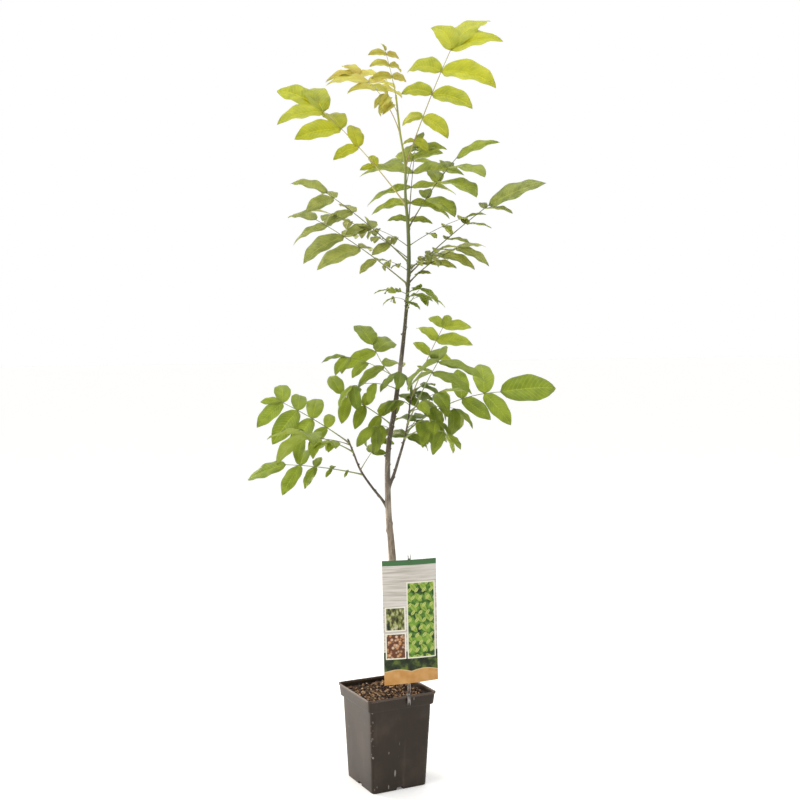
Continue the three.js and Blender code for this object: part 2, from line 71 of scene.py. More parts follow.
def square_ring(side, height, corner=pot_corner, sag=0.0, corner_steps=8, side_steps=12):
    """One level of the pot: a square with round corners, whose sides may sag inwards."""
    reach = side / 2 - corner
    ring = []
    for quarter in range(4):
        turn = Matrix.Rotation(quarter * math.pi / 2, 3, "Z")
        for i in range(corner_steps + 1):
            a = i / corner_steps * math.pi / 2
            at_corner = (reach + corner * math.cos(a), reach + corner * math.sin(a), height)
            ring.append(turn @ Vector(at_corner))
        for i in range(1, side_steps):
            share = i / side_steps
            inwards = sag * math.sin(math.pi * share) ** 2
            ring.append(turn @ Vector((reach * (1 - 2 * share), side / 2 - inwards, height)))
    return ring


def new_mesh(name, points, faces, edges=()):
    mesh = bpy.data.meshes.new(name)
    mesh.from_pydata(points, list(edges), faces)
    mesh.update()
    return mesh


def lofted(name, rings, start=None, end=None):
    """A closed body through rings of points in millimetres, each end fanned to its middle."""
    sides = len(rings[0])
    points = [point for ring in rings for point in ring]
    points.append(start if start is not None else sum(rings[0], Vector()) / sides)
    points.append(end if end is not None else sum(rings[-1], Vector()) / sides)
    foot, head = len(points) - 2, len(points) - 1
    last = (len(rings) - 1) * sides
    faces = []
    for j in range(sides):
        k = (j + 1) % sides
        faces.append((foot, k, j))
        faces.append((head, last + j, last + k))
        faces += [(low + j, low + k, low + sides + k, low + sides + j) for low in range(0, last, sides)]
    return new_mesh(name, [point * MM for point in points], faces)


def slab(turned, outline, near, far):
    """Corners and faces of a flat plate: an outline across and up, between two depths, then turned."""
    count = len(outline)
    corners = [turned @ Vector((x, depth, z)) * MM for depth in (near, far) for x, z in outline]
    faces = [list(range(count)), [count + i for i in reversed(range(count))]]
    for i in range(count):
        k = (i + 1) % count
        faces.append([k, i, count + i, count + k])
    return corners, faces


def slabs_mesh(name, slabs):
    points, faces = [], []
    for corners, sides in slabs:
        faces += [[len(points) + i for i in side] for side in sides]
        points += corners
    return new_mesh(name, points, faces)


def placed(name, mesh, material=None, sharp=None):
    """An object for a finished mesh, smooth but for edges sharper than an angle in degrees."""
    piece = bpy.data.objects.new(name, mesh)
    bpy.context.scene.collection.objects.link(piece)
    if material is not None:
        mesh.materials.clear()
        mesh.materials.append(material)
    if sharp is not None:
        mesh.shade_smooth()
        mesh.set_sharp_from_angle(angle=math.radians(sharp))
    return piece


def plain_mesh(carrier):
    """What an object's modifiers make of it, as a mesh of its own. The object goes."""
    bpy.context.view_layer.update()
    depsgraph = bpy.context.evaluated_depsgraph_get()
    mesh = bpy.data.meshes.new_from_object(
        carrier.evaluated_get(depsgraph), preserve_all_data_layers=True, depsgraph=depsgraph
    )
    bpy.data.objects.remove(carrier)
    return mesh


class Measure:
    """A number, vector or colour in a node tree. Arithmetic on it adds the nodes."""

    def __init__(self, socket):
        self.socket = socket
        self.tree = socket.id_data

    @classmethod
    def node(cls, tree, kind, settings=None, inputs=None, result=0):
        """Adds a node: its settings first, then its sockets' values or links."""
        made = tree.nodes.new(kind)
        for name, value in (settings or {}).items():
            if name == "stops":
                for at, _ in value[1:-1]:
                    made.color_ramp.elements.new(at)
                for element, (at, colour) in zip(made.color_ramp.elements, value):
                    element.position = at
                    element.color = (*colour, 1)
            else:
                setattr(made, name, value)
        for key, value in (inputs or {}).items():
            for one in value if isinstance(value, list) else [value]:
                if isinstance(one, cls):
                    tree.links.new(one.socket, made.inputs[key])
                else:
                    made.inputs[key].default_value = one
        return None if result is None else cls(made.outputs[result])

    def joined(self, operation, other=0.0, swapped=False):
        """This value and another through one Math node, or Vector Math if either is a vector."""
        kinds = {self.socket.type, other.socket.type if isinstance(other, Measure) else ""}
        vector = bool(kinds & {"VECTOR", "RGBA"}) or isinstance(other, tuple)
        if vector and isinstance(other, (int, float)):
            other = (other,) * 3
        pair = (other, self) if swapped else (self, other)
        kind = "ShaderNodeVectorMath" if vector else "ShaderNodeMath"
        return Measure.node(self.tree, kind, {"operation": operation}, dict(enumerate(pair)))

    def __add__(self, other):
        return self.joined("ADD", other)

    def __sub__(self, other):
        return self.joined("SUBTRACT", other)

    def __mul__(self, other):
        return self.joined("MULTIPLY", other)

    def __truediv__(self, other):
        return self.joined("DIVIDE", other)

    def __pow__(self, other):
        return self.joined("POWER", other)

    def __lt__(self, other):
        return self.joined("LESS_THAN", other)

    def __gt__(self, other):
        return self.joined("GREATER_THAN", other)

    def __abs__(self):
        return self.joined("ABSOLUTE")

    def __radd__(self, other):
        return self.joined("ADD", other, swapped=True)

    def __rsub__(self, other):
        return self.joined("SUBTRACT", other, swapped=True)

    def __rmul__(self, other):
        return self.joined("MULTIPLY", other, swapped=True)

    def __rtruediv__(self, other):
        return self.joined("DIVIDE", other, swapped=True)


def new_finish(name):
    """An empty material: the material, its tree, and where a point lies on the piece."""
    material = bpy.data.materials.new(name)
    material.use_nodes = True
    material.node_tree.nodes.clear()
    tree = material.node_tree
    return material, tree, Measure.node(tree, "ShaderNodeTexCoord", result="Object")


def surface(shader):
    Measure.node(shader.tree, "ShaderNodeOutputMaterial", None, {"Surface": shader}, result=None)


def coat(tree, **sockets):
    """A Principled shader, whose sockets are named with _ for a space."""
    inputs = {name.replace("_", " "): value for name, value in sockets.items()}
    return Measure.node(tree, "ShaderNodeBsdfPrincipled", None, inputs)


def ramped(value, low, high):
    """0 below low, 1 above high, and smooth between."""
    limits = {"Value": value, "From Min": low, "From Max": high}
    return Measure.node(
        value.tree, "ShaderNodeMapRange", {"interpolation_type": "SMOOTHSTEP"}, limits
    )


def noisy(place, scale, detail=3.0, stretch=(1, 1, 1)):
    """Cloudy noise from 0 to 1, over coordinates stretched by axis."""
    inputs = {"Vector": place * stretch, "Scale": scale, "Detail": detail}
    return Measure.node(place.tree, "ShaderNodeTexNoise", None, inputs)


def tinted(share, first, second):
    """A share of the second colour over the first."""
    inputs = {"Factor": share, 6: first, 7: second}
    return Measure.node(share.tree, "ShaderNodeMix", {"data_type": "RGBA"}, inputs, result=2)


def split(vector):
    """The three parts of a vector."""
    part = Measure.node(vector.tree, "ShaderNodeSeparateXYZ", None, {0: vector})
    return [Measure(output) for output in part.socket.node.outputs]


def bumped(height, strength, distance):
    inputs = {"Height": height, "Strength": strength, "Distance": distance}
    return Measure.node(height.tree, "ShaderNodeBump", None, inputs)


def mould_pot():
    """The pot without its notches, up the outside, over the lip and down the inside."""
    # side and height of each level
    levels = [(116, 0.0), (122.4, 0.2), (124.4, 1.0), (125.2, 2.8)]
    levels += [(wall_side(z), z) for z in range(14, 170, 12)]
    levels += [(140.7, 171.6), (141.4, 173.2), (143, 174.0), (148.8, 174.1), (149.9, 175.0)]
    levels += [(150.3, 178), (151.6, 184), (153.0, 191), (153.8, 194.6), (154.6, 195.6), (156.2, 196.0)]
    levels += [(156.9, 197), (157, 198.6), (156.4, 199.7), (155.4, 200), (152.6, 200), (151.5, 199.4)]
    levels += [(150.9, 198), (149.6, 192), (146.6, 179), (145.0, 175.2), (138.2, 171.8), (136.8, 165)]
    levels += [(wall_side(z) - 4, z) for z in range(150, 8, -20)]
    levels += [(119, 8.4), (116, 8)]
    rings = []
    for side, height in levels:
        if height > pot_band - 3:
            corner, sag = pot_corner, 0.3
        else:
            corner, sag = pot_corner - 1, 0.9 * math.sin(math.pi * height / pot_band)
        rings.append(square_ring(side, height, corner, sag))
    return lofted("pot_shell", rings, Vector((0, 0, 0)), Vector((0, 0, 8)))


notch_width, notch_height, notch_depth = 16.0, 6.0, 14.0


def notch_cutter():
    """Four rounded blocks, one across the foot of each side."""
    half, round_off = notch_width / 2, 2.0
    outline = [(-half, -4), (half, -4), (half, notch_height - round_off), (half - round_off, notch_height)]
    outline += [(round_off - half, notch_height), (-half, notch_height - round_off)]
    near, far = -pot_base / 2 - 6, -pot_base / 2 + notch_depth
    turns = [Matrix.Rotation(quarter * math.pi / 2, 3, "Z") for quarter in range(4)]
    mesh = slabs_mesh("notch_cutter", [slab(turn, outline, near, far) for turn in turns])
    return placed("notch_cutter", mesh)


cutter = notch_cutter()
shell = placed("pot_blank", mould_pot())
cut = shell.modifiers.new("notches", "BOOLEAN")
cut.operation, cut.solver, cut.object = "DIFFERENCE", "EXACT", cutter
pot_mesh = plain_mesh(shell)
bpy.data.objects.remove(cutter)

pot_plastic, tree, place = new_finish("black pot plastic")
x, y, z = split(place)
half_side = 0.0625 + 0.046 * z + 0.0052 * ramped(z, 0.1735, 0.1745)  # wider from the band up
corner_share = abs(x).joined("MINIMUM", abs(y)) / half_side
corner_edge = ramped(corner_share, 0.9, 0.99)
dust = noisy(place, 14, 6)
streaks = noisy(place, 60, 4, (1, 1, 0.12))
pits = Measure.node(tree, "ShaderNodeTexVoronoi", None, {"Vector": place, "Scale": 130})
pitted = ramped(pits, 0.4, 0.24) * ramped(noisy(place, 45, 2), 0.42, 0.52) * corner_edge
# The rolled lip is painted lighter here as a painted highlight; the dust and streaks mixed in with it are
# the plastic's own.
lip = ramped(z, 0.1955, 0.197)
wear_and_lip_highlight = ramped(dust, 0.45, 0.75) * 0.3 + ramped(streaks, 0.55, 0.8) * 0.25 + lip * 0.8
dust_and_lip_highlight_tone = tinted(wear_and_lip_highlight, (0.0145, 0.0096, 0.0064, 1), (0.082, 0.06, 0.045, 1))
# The rounded corners are painted darker here: a painted dark reflection along each corner edge.
with_painted_corner_reflection = tinted(corner_edge * 0.7, dust_and_lip_highlight_tone, (0.006, 0.0045, 0.0032, 1))
nicks = ramped(noisy(place, 130, 1, (1, 1, 0.3)), 0.74, 0.8) * 0.6
colour = tinted(pitted + nicks, with_painted_corner_reflection, (0.3, 0.28, 0.25, 1))
relief = noisy(place, 900, 2) * 0.25 + dust * 0.5 - pitted * 1.5
gloss = {"Specular_IOR_Level": 0.36, "Specular_Tint": (1, 0.87, 0.76, 1)}
rough = 0.3 + 0.2 * dust + 0.16 * corner_edge
surface(coat(tree, Base_Color=colour, Roughness=rough, Normal=bumped(relief, 0.35, 0.0006), **gloss))

pot = placed("pot_shell", pot_mesh, pot_plastic, sharp=38)
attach(pot, "root")
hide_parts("pot")


# ------------------------------------------------------------------ the root ball
# Peat compost that the roots hold together, pressed to the pot's inside. It is dressed with chips and
# torn fibres of bark, which lie loose and heap a little round the foot of the stem.

soil_level, soil_side = 188.0, 148.4
strewn_reach = 74.0  # how far from the middle the strewn bark may lie
stem_foot = Vector((38.3, 31.0, 0))


def soil_height(x, y):
    """How high the compost stands, in millimetres, with a low heap at the stem."""
    from_stem = math.hypot(x - stem_foot.x, y - stem_foot.y)
    from_middle = math.hypot(x, y)
    heap = 5.5 * math.exp(-((from_stem / 34) ** 2)) + 3.0 * math.exp(-((from_middle / 46) ** 2))
    lumps = 1.3 * noise.noise(Vector((x, y, 3)) * 0.06) + 0.7 * noise.noise(Vector((x, y, 9)) * 0.2)
    return soil_level + heap + lumps


def press_root_ball():
    rings = [square_ring(pot_base - 8, 9, side_steps=12), square_ring(wall_side(90) - 4.6, 90)]
    rings += [square_ring(wall_side(165) - 4.6, 165), square_ring(138, 171), square_ring(145.2, 176.5)]
    for share in (1.0, 0.97, 0.93, 0.88, 0.82, 0.75, 0.67, 0.58, 0.48, 0.37, 0.25, 0.12):
        level = square_ring(soil_side * share, 0, corner=min(pot_corner, 60 * share))
        rings.append([Vector((p.x, p.y, soil_height(p.x, p.y))) for p in level])
    return lofted("root_ball_body", rings, None, Vector((0, 0, soil_height(0, 0))))


compost, tree, place = new_finish("peat compost")
crumbs = noisy(place, 260, 6)
damp = noisy(place, 30, 3)
peat = tinted(ramped(crumbs, 0.35, 0.7), (0.012, 0.007, 0.004, 1), (0.07, 0.038, 0.02, 1))
colour = tinted(ramped(damp, 0.4, 0.7) * 0.5, peat, (0.02, 0.012, 0.008, 1))
surface(coat(tree, Base_Color=colour, Roughness=0.95, Normal=bumped(crumbs, 0.9, 0.002)))

root_ball = placed("root_ball_body", press_root_ball(), compost, sharp=60)
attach(root_ball, "root")
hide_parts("root_ball")


def growth_tree(name, **kinds):
    """An empty Geometry Nodes tree with inputs listed by kind: the tree, and what comes in by name."""
    tree = bpy.data.node_groups.new(name, "GeometryNodeTree")
    face = tree.interface
    face.new_socket("Geometry", in_out="OUTPUT", socket_type="NodeSocketGeometry")
    for kind, labels in {"Geometry": ["Geometry"], **kinds}.items():
        for label in labels:
            face.new_socket(label, in_out="INPUT", socket_type="NodeSocket" + kind)
    given = tree.nodes.new("NodeGroupInput")
    return tree, {output.name: Measure(output) for output in given.outputs if output.name}


def finished_tree(tree, geometry, finish):
    """Ends a tree with its geometry, all in one finish."""
    inputs = {"Geometry": geometry, "Material": finish}
    done = Measure.node(tree, "GeometryNodeSetMaterial", None, inputs)
    Measure.node(tree, "NodeGroupOutput", None, {0: done}, result=None)
    return tree


def scatter_tree(name):
    """Strews blocks over a surface: chips where they are short, fibres where they are long."""
    shape = ["Density", "Length", "Width", "Thickness", "Tilt", "Raggedness"]
    tree, given = growth_tree(name, Float=shape, Int=["Seed"], Material=["Finish"])

    def vector(x, y, z):
        return Measure.node(tree, "ShaderNodeCombineXYZ", None, {"X": x, "Y": y, "Z": z})

    def random_between(low, high, offset, kind="FLOAT_VECTOR"):
        first, result = (0, 0) if kind == "FLOAT_VECTOR" else (2, 1)
        sockets = {first: low, first + 1: high, "Seed": given["Seed"] + offset}
        return Measure.node(tree, "FunctionNodeRandomValue", {"data_type": kind}, sockets, result)

    spread = {"Mesh": given["Geometry"], "Density": given["Density"], "Seed": given["Seed"]}
    strewn = Measure.node(tree, "GeometryNodeDistributePointsOnFaces", None, spread, "Points")
    size = vector(given["Length"], given["Width"], given["Thickness"])
    cuts = {"Size": size, "Vertices X": 4, "Vertices Y": 3, "Vertices Z": 2}
    block = Measure.node(tree, "GeometryNodeMeshCube", None, cuts, "Mesh")
    tilt = vector(given["Tilt"], given["Tilt"], math.pi)
    turn = random_between(tilt * -1, tilt, 1)
    stretch = random_between((0.45, 0.5, 0.5), (1.0, 1.2, 1.3), 2)
    laying = {"Points": strewn, "Instance": block, "Rotation": turn, "Scale": stretch}
    laid = Measure.node(tree, "GeometryNodeInstanceOnPoints", None, laying)
    tinting = {"Geometry": laid, "Name": "tint", "Value": random_between(0.0, 1.0, 3, "FLOAT")}
    settings = {"data_type": "FLOAT", "domain": "INSTANCE"}
    toned = Measure.node(tree, "GeometryNodeStoreNamedAttribute", settings, tinting)
    real = Measure.node(tree, "GeometryNodeRealizeInstances", None, {"Geometry": toned})
    where = Measure.node(tree, "GeometryNodeInputPosition")
    tearing = {"Vector": where, "Scale": 190.0, "Detail": 2.0}
    torn = Measure.node(tree, "ShaderNodeTexNoise", None, tearing, 1)
    shift = {"Geometry": real, "Offset": (torn - 0.5) * given["Raggedness"]}
    return finished_tree(tree, Measure.node(tree, "GeometryNodeSetPosition", None, shift), given["Finish"])


def grown(name, carrier_mesh, tree, **settings):
    """Runs a node tree over a carrier, with the tree's named inputs set, and keeps the mesh."""
    carrier = placed(name + "_carrier", carrier_mesh)
    growth = carrier.modifiers.new(name, "NODES")
    growth.node_group = tree
    for socket in tree.interface.items_tree:
        if socket.in_out == "INPUT" and socket.name in settings:
            growth[socket.identifier] = settings[socket.name]
    return placed(name, plain_mesh(carrier))


def soil_patch(margin):
    """The compost's top as a sheet, short of the pot's wall by a margin, for things to lie on."""
    steps, half = 28, strewn_reach - margin
    spots = [half * (2 * i / steps - 1) for i in range(steps + 1)]
    points = [Vector((x, y, soil_height(x, y) + 0.6)) * MM for y in spots for x in spots]
    row = steps + 1
    cells = [j * row + i for j in range(steps) for i in range(steps)]
    return new_mesh("soil_patch", points, [(c, c + 1, c + row + 1, c + row) for c in cells])


def stored(tree, name):
    """A number that each point of the mesh keeps under a name."""
    return Measure.node(tree, "ShaderNodeAttribute", {"attribute_name": name}, result="Fac")


def graded(value, stops):
    """A colour that runs through stops as the value goes from 0 to 1."""
    return Measure.node(value.tree, "ShaderNodeValToRGB", {"stops": stops}, {0: value})


bark_chip, tree, place = new_finish("bark chips")
threads = noisy(place, 300, 4, (1, 1, 0.4))
stops = [
    (0.0, (0.008, 0.004, 0.002)),
    (0.4, (0.03, 0.013, 0.006)),
    (0.66, (0.15, 0.072, 0.03)),
    (0.86, (0.42, 0.24, 0.115)),
    (1.0, (0.8, 0.58, 0.36)),
]
chip_tone = graded(stored(tree, "tint"), stops)
colour = tinted(ramped(threads, 0.4, 0.75) * 0.5, chip_tone, (0.03, 0.015, 0.007, 1))
surface(coat(tree, Base_Color=colour, Roughness=0.85, Normal=bumped(threads, 0.6, 0.0008)))

strew = scatter_tree("strewn bark")
chips = grown(
    "bark_chips", soil_patch(7), strew, Density=30000.0, Length=15 * MM, Width=3.4 * MM,
    Thickness=1.8 * MM, Tilt=0.7, Raggedness=3.6 * MM, Seed=4, Finish=bark_chip,
)
fibres = grown(
    "bark_fibres", soil_patch(15), strew, Density=30000.0, Length=30 * MM, Width=1.0 * MM,
    Thickness=0.8 * MM, Tilt=0.45, Raggedness=4.5 * MM, Seed=11, Finish=bark_chip,
)
for strewn in (chips, fibres):
    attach(strewn, "root")


# ------------------------------------------------------------------ the stem
# One slim walnut stem. Its foot is old wood with pale, finely cracked bark, the middle is last year's
# brown shoot with leaf scars and buds close together, and the top is this year's green growth.

# height, lean across, lean away and thickness, in the plant's own frame
stem_rows = [
    (187.3, 20, 45, 28),
    (215, 20, 44, 20),
    (400, 15, 24, 17.5),
    (490, 11, 14, 15),
    (575, 4, 6, 13),
    (700, 4, 2, 10.5),
    (780, 16, 3, 10),
    (880, 30, 2, 9),
    (1000, 42, 0, 7),
    (1085, 46.5, 0, 8),
    (1160, 45, 1, 7.2),
    (1230, 39.5, 3, 5.6),
    (1290, 39, 3, 4.8),
    (1350, 29, 1, 4.2),
    (1430, 20, 0, 3.4),
]
plant_turn = Matrix.Rotation(math.radians(-27), 3, "Z")  # the plant's broad side, from the pot's front
UP = Vector((0, 0, 1))


def smooth_path(points):
    """A centripetal curve through points, from 0 at the first to 1 at the last."""
    before = points[0] * 2 - points[1]
    after = points[-1] * 2 - points[-2]
    line = [before, *points, after]

    def point_at(t):
        place = min(max(t, 0.0), 1.0) * (len(points) - 1)
        span = min(int(place), len(points) - 2)
        within = place - span
        p0, p1, p2, p3 = line[span : span + 4]
        d0, d1, d2 = ((b - a).length ** 0.5 for a, b in ((p0, p1), (p1, p2), (p2, p3)))
        leave = ((p1 - p0) / d0 - (p2 - p0) / (d0 + d1) + (p2 - p1) / d1) * d1
        arrive = ((p2 - p1) / d1 - (p3 - p1) / (d1 + d2) + (p3 - p2) / d2) * d1
        squared = p2 * 3 - p1 * 3 - leave * 2 - arrive
        cubed = p1 * 2 - p2 * 2 + leave + arrive
        return p1 + leave * within + squared * within**2 + cubed * within**3

    return point_at


def eased(value, low, high):
    share = min(max((value - low) / (high - low), 0.0), 1.0)
    return share * share * (3 - 2 * share)


stem_path = smooth_path([Vector((x, y, z)) for z, x, y, _ in stem_rows])


def stem_share(height):
    """Where along the stem's path a height lies."""
    spans = len(stem_rows) - 1
    row = max(i for i, values in enumerate(stem_rows) if values[0] <= height or i == 0)
    low, high = stem_rows[row][0], stem_rows[min(row + 1, spans)][0]
    within = (height - low) / (high - low) if high > low else 0
    return min(1.0, (row + within) / spans)


def stem_radius(t):
    spans = len(stem_rows) - 1
    row = min(int(t * spans), spans - 1)
    within = t * spans - row
    return (stem_rows[row][3] * (1 - within) + stem_rows[row + 1][3] * within) / 2


golden_turn = 137.5  # from each bud round the shoot to the next, in degrees
# old branch scars: height, bearing, how far they stand out, how broad
stem_knots = [
    (531, 200, 1.9, 5.0),
    (545, 340, 1.7, 5.0),
    (470, 20, 0.9, 7.0),
    (388, 250, 1.1, 7.0),
    (330, 330, 0.9, 8.0),
    (262, 210, 1.1, 9.0),
    (588, 175, 1.6, 6.0),
    (626, 330, 1.8, 6.0),
    (650, 80, 1.2, 4.5),
]
# leaf scars with buds, close together on last year's shoot, in the same columns
bud_rule = random.Random(31)
bud_scars = []
shoot_foot, shoot_head, crowded_above = 668.0, 1046, 940
height, bearing = shoot_foot, 40.0
while height < shoot_head:
    bud_scars.append((height, bearing % 360, bud_rule.uniform(1.0, 1.9), bud_rule.uniform(2.6, 3.8)))
    height += bud_rule.uniform(13, 27) * (0.62 if height > crowded_above else 1)
    bearing += golden_turn + bud_rule.uniform(-14, 14)
# the stem thickens where a leaf's stalk leaves it: height and bearing of each
leaf_feet = [(1424, 125), (1352, 129), (1392, 222), (1285, 50), (1205, 150), (1151, 85), (1158, 24)]
leaf_feet += [(1063, -8), (1044, 30), (1088, 160), (1042, 146), (988, -62), (752, 162), (846, 114)]
cushions = [(at, bearing, 0.9 + 0.6 * (at < 1300), 3.4) for at, bearing in leaf_feet]


def frames_along(point_at, shares):
    """Centres, and two level directions carried along a path without twisting."""
    centres = [point_at(t) for t in shares]
    side = Vector((1, 0, 0))
    frames = []
    for i, centre in enumerate(centres):
        ahead = (centres[min(i + 1, len(centres) - 1)] - centres[max(i - 1, 0)]).normalized()
        side = (side - ahead * side.dot(ahead)).normalized()
        frames.append((centre, side, ahead.cross(side)))
    return frames


def limb_mesh(name, point_at, radius_at, relief, steps, sides):
    """A limb with its bark's relief: rings round a path, in the row frame."""
    shares = [i / steps for i in range(steps + 1)]
    rings = []
    for t, (centre, across, away) in zip(shares, frames_along(point_at, shares)):
        ring, radius = [], radius_at(t)
        for j in range(sides):
            a = 2 * math.pi * j / sides
            out = across * math.cos(a) + away * math.sin(a)
            ring.append(plant_turn @ (centre + out * (radius + relief(centre, a, radius))))
        rings.append(ring)
    return lofted(name, rings)


def bark_relief(marks, old_below, roughness):
    """How far bark stands out: furrows and grain, and a bump at each mark."""

    def relief(centre, angle, radius):
        about = Vector((math.cos(angle), math.sin(angle), 0))
        old = 1 - eased(centre.z, old_below - 240, old_below + 60)
        furrows = noise.noise(about * 1.9 + UP * centre.z * 0.014)
        grain = noise.noise(about * 6.5 + UP * centre.z * 0.06)
        lift = roughness * ((0.3 + 0.5 * old) * furrows + (0.1 + 0.22 * old) * grain)
        for height, bearing, stand, breadth in marks:
            if abs(centre.z - height) < 3 * breadth:
                round_by = (angle - math.radians(bearing) + math.pi) % (2 * math.pi) - math.pi
                near = ((centre.z - height) / breadth) ** 2 + (radius * round_by / breadth) ** 2
                lift += stand * math.exp(-1.6 * near)
        return lift

    return relief


bark, tree, place = new_finish("walnut bark")
_, _, z = split(place)
stops = [
    (0.0, (0.21, 0.168, 0.125)),
    (0.17, (0.29, 0.237, 0.18)),
    (0.27, (0.25, 0.2, 0.15)),
    (0.36, (0.16, 0.128, 0.093)),
    (0.43, (0.085, 0.068, 0.044)),
    (0.62, (0.07, 0.06, 0.035)),
    (0.675, (0.075, 0.073, 0.026)),
    (0.71, (0.08, 0.095, 0.02)),
    (0.85, (0.13, 0.16, 0.022)),
    (1.0, (0.33, 0.34, 0.045)),
]
height_share = (z - 0.19) / 1.24
by_height = graded(height_share, stops)
cracks = noisy(place, 230, 5, (1, 1, 0.16))
patches = noisy(place, 42, 4, (1, 1, 0.35))
specks = Measure.node(
    tree, "ShaderNodeTexVoronoi", None, {"Vector": place * (1, 1, 0.55), "Scale": 260}
)
woody = ramped(z, 1.06, 1.0)
paler = tinted(ramped(patches, 0.48, 0.66) * 0.5 * woody, by_height, (0.42, 0.37, 0.30, 1))
cracked = tinted(ramped(cracks, 0.56, 0.34) * 0.7 * woody, paler, (0.05, 0.038, 0.028, 1))
lenticels = ramped(specks, 0.24, 0.12) * woody
colour = tinted(lenticels * 0.55, cracked, (0.5, 0.45, 0.37, 1))
relief = cracks * 0.8 * woody + patches * 0.5 + lenticels * 0.4
rough = 0.5 + 0.32 * woody
surface(coat(tree, Base_Color=colour, Roughness=rough, Normal=bumped(relief, 0.5, 0.0008)))


def stem_flare(t):
    """The stem's radius, with its root flare where it enters the compost."""
    rise = stem_path(t).z - stem_rows[0][0]
    return stem_radius(t) + 1.5 * math.exp(-rise / 14)


bumps = bark_relief(stem_knots + bud_scars + cushions, old_below=640, roughness=1.0)
stem_mesh = limb_mesh("stem_bark", stem_path, stem_flare, bumps, steps=420, sides=30)
stem = placed("stem_bark", stem_mesh, bark, sharp=80)
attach(stem, "root")
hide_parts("stem")


# ------------------------------------------------------------------ the boughs
# Two thin boughs leave the old wood low down. Each swells into a collar where it joins the stem, and
# carries brown bark, raised leaf scars and small buds out to the leaves at its tip.

# where on the stem each leaves, its offsets across, away and up, and its thickness at foot and tip
bough_rows = {
    "left": (575, [(-14, -2, 22), (-33, -5, 46), (-58, -9, 84), (-73, -12, 122), (-84, -15, 150)], 6.2, 3),
    "right": (618, [(13, -3, 32), (22, -8, 62), (35, -14, 108), (43, -19, 150), (47, -24, 196)], 7, 3),
}

young_bark, tree, place = new_finish("young walnut bark")
rings = noisy(place, 320, 4, (1, 1, 0.3))
blotches = noisy(place, 60, 4)
brown = tinted(ramped(blotches, 0.4, 0.7), (0.058, 0.045, 0.032, 1), (0.14, 0.116, 0.086, 1))
colour = tinted(ramped(rings, 0.5, 0.3) * 0.5, brown, (0.04, 0.03, 0.022, 1))
surface(coat(tree, Base_Color=colour, Roughness=0.72, Normal=bumped(rings, 0.45, 0.0006)))

limb_paths = {"stem": stem_path}
bough_buds = []
for side, (leaves_at, offsets, foot_width, tip_width) in bough_rows.items():
    foot = stem_path(stem_share(leaves_at))
    path = smooth_path([foot, *(foot + Vector(offset) for offset in offsets)])
    limb_paths[side] = path
    marks = []
    for i in range(9):  # a scar and its bud at every tenth of the bough
        centre = path(0.16 + 0.1 * i)
        bearing = (i * golden_turn + 60 * (side == "left")) % 360
        marks.append((centre.z, bearing, 0.9, 2.6))
        bough_buds.append((centre, bearing, (foot_width + (tip_width - foot_width) * 0.1 * i) / 2))

    def bough_radius(t, foot_width=foot_width, tip_width=tip_width):
        collar = 2.6 * math.exp(-t / 0.055)
        return (foot_width + (tip_width - foot_width) * t) / 2 + collar

    bumps = bark_relief(marks, old_below=0, roughness=0.8)
    mesh = limb_mesh(f"bough_{side}_bark", path, bough_radius, bumps, steps=120, sides=18)
    bough = placed(f"bough_{side}_bark", mesh, young_bark, sharp=80)
    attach(bough, "root")
    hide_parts(f"bough_{side}")


# ------------------------------------------------------------------ the buds
# Small scaly buds sit over the leaf scars of the stem's upper part and of both boughs. They are one
# egg shape, turned outwards and up on its scar.


def carried(tree, name, kind="FLOAT"):
    """A named number or vector that the points of a carrier bring with them."""
    return Measure.node(tree, "GeometryNodeInputNamedAttribute", {"data_type": kind}, {"Name": name})


def bud_tree():
    """Sets an egg-shaped bud on each point, along the point's direction."""
    tree, given = growth_tree("buds", Float=["Slimness"], Material=["Finish"])
    round_shape = {"Segments": 10, "Rings": 8, "Radius": 1.0}
    ball = Measure.node(tree, "GeometryNodeMeshUVSphere", None, round_shape, "Mesh")
    x, y, z = split(Measure.node(tree, "GeometryNodeInputPosition"))
    taper = (1.25 - 0.55 * z) * given["Slimness"]
    parts = {"X": x * taper, "Y": y * taper, "Z": z + 0.6}
    tapered = {"Geometry": ball, "Position": Measure.node(tree, "ShaderNodeCombineXYZ", None, parts)}
    egg = Measure.node(tree, "GeometryNodeSetPosition", None, tapered)
    way = {"Vector": carried(tree, "outwards", "FLOAT_VECTOR")}
    turn = Measure.node(tree, "FunctionNodeAlignRotationToVector", {"axis": "Z"}, way)
    setting = {"Points": given["Geometry"], "Instance": egg, "Rotation": turn}
    setting["Scale"] = carried(tree, "size")
    dealt = Measure.node(tree, "GeometryNodeInstanceOnPoints", None, setting)
    real = Measure.node(tree, "GeometryNodeRealizeInstances", None, {"Geometry": dealt})
    smooth = Measure.node(tree, "GeometryNodeSetShadeSmooth", None, {"Geometry": real})
    return finished_tree(tree, smooth, given["Finish"])


def points_mesh(name, points, edges=(), **attributes):
    """Bare points in metres that carry named numbers and vectors."""
    mesh = new_mesh(name, points, [], edges)
    for label, values in attributes.items():
        vector = isinstance(values[0], Vector)
        made = mesh.attributes.new(label, "FLOAT_VECTOR" if vector else "FLOAT", "POINT")
        flat = [number for value in values for number in value] if vector else values
        made.data.foreach_set("vector" if vector else "value", flat)
    return mesh


def level_way(bearing):
    """The level direction at a bearing in degrees, in the plant's frame."""
    return Vector((math.cos(math.radians(bearing)), math.sin(math.radians(bearing)), 0))


bud_scale, tree, place = new_finish("bud scales")
scales = noisy(place, 900, 3)
colour = tinted(ramped(scales, 0.35, 0.65), (0.07, 0.05, 0.035, 1), (0.2, 0.16, 0.11, 1))
surface(coat(tree, Base_Color=colour, Roughness=0.6, Normal=bumped(scales, 0.5, 0.0004)))

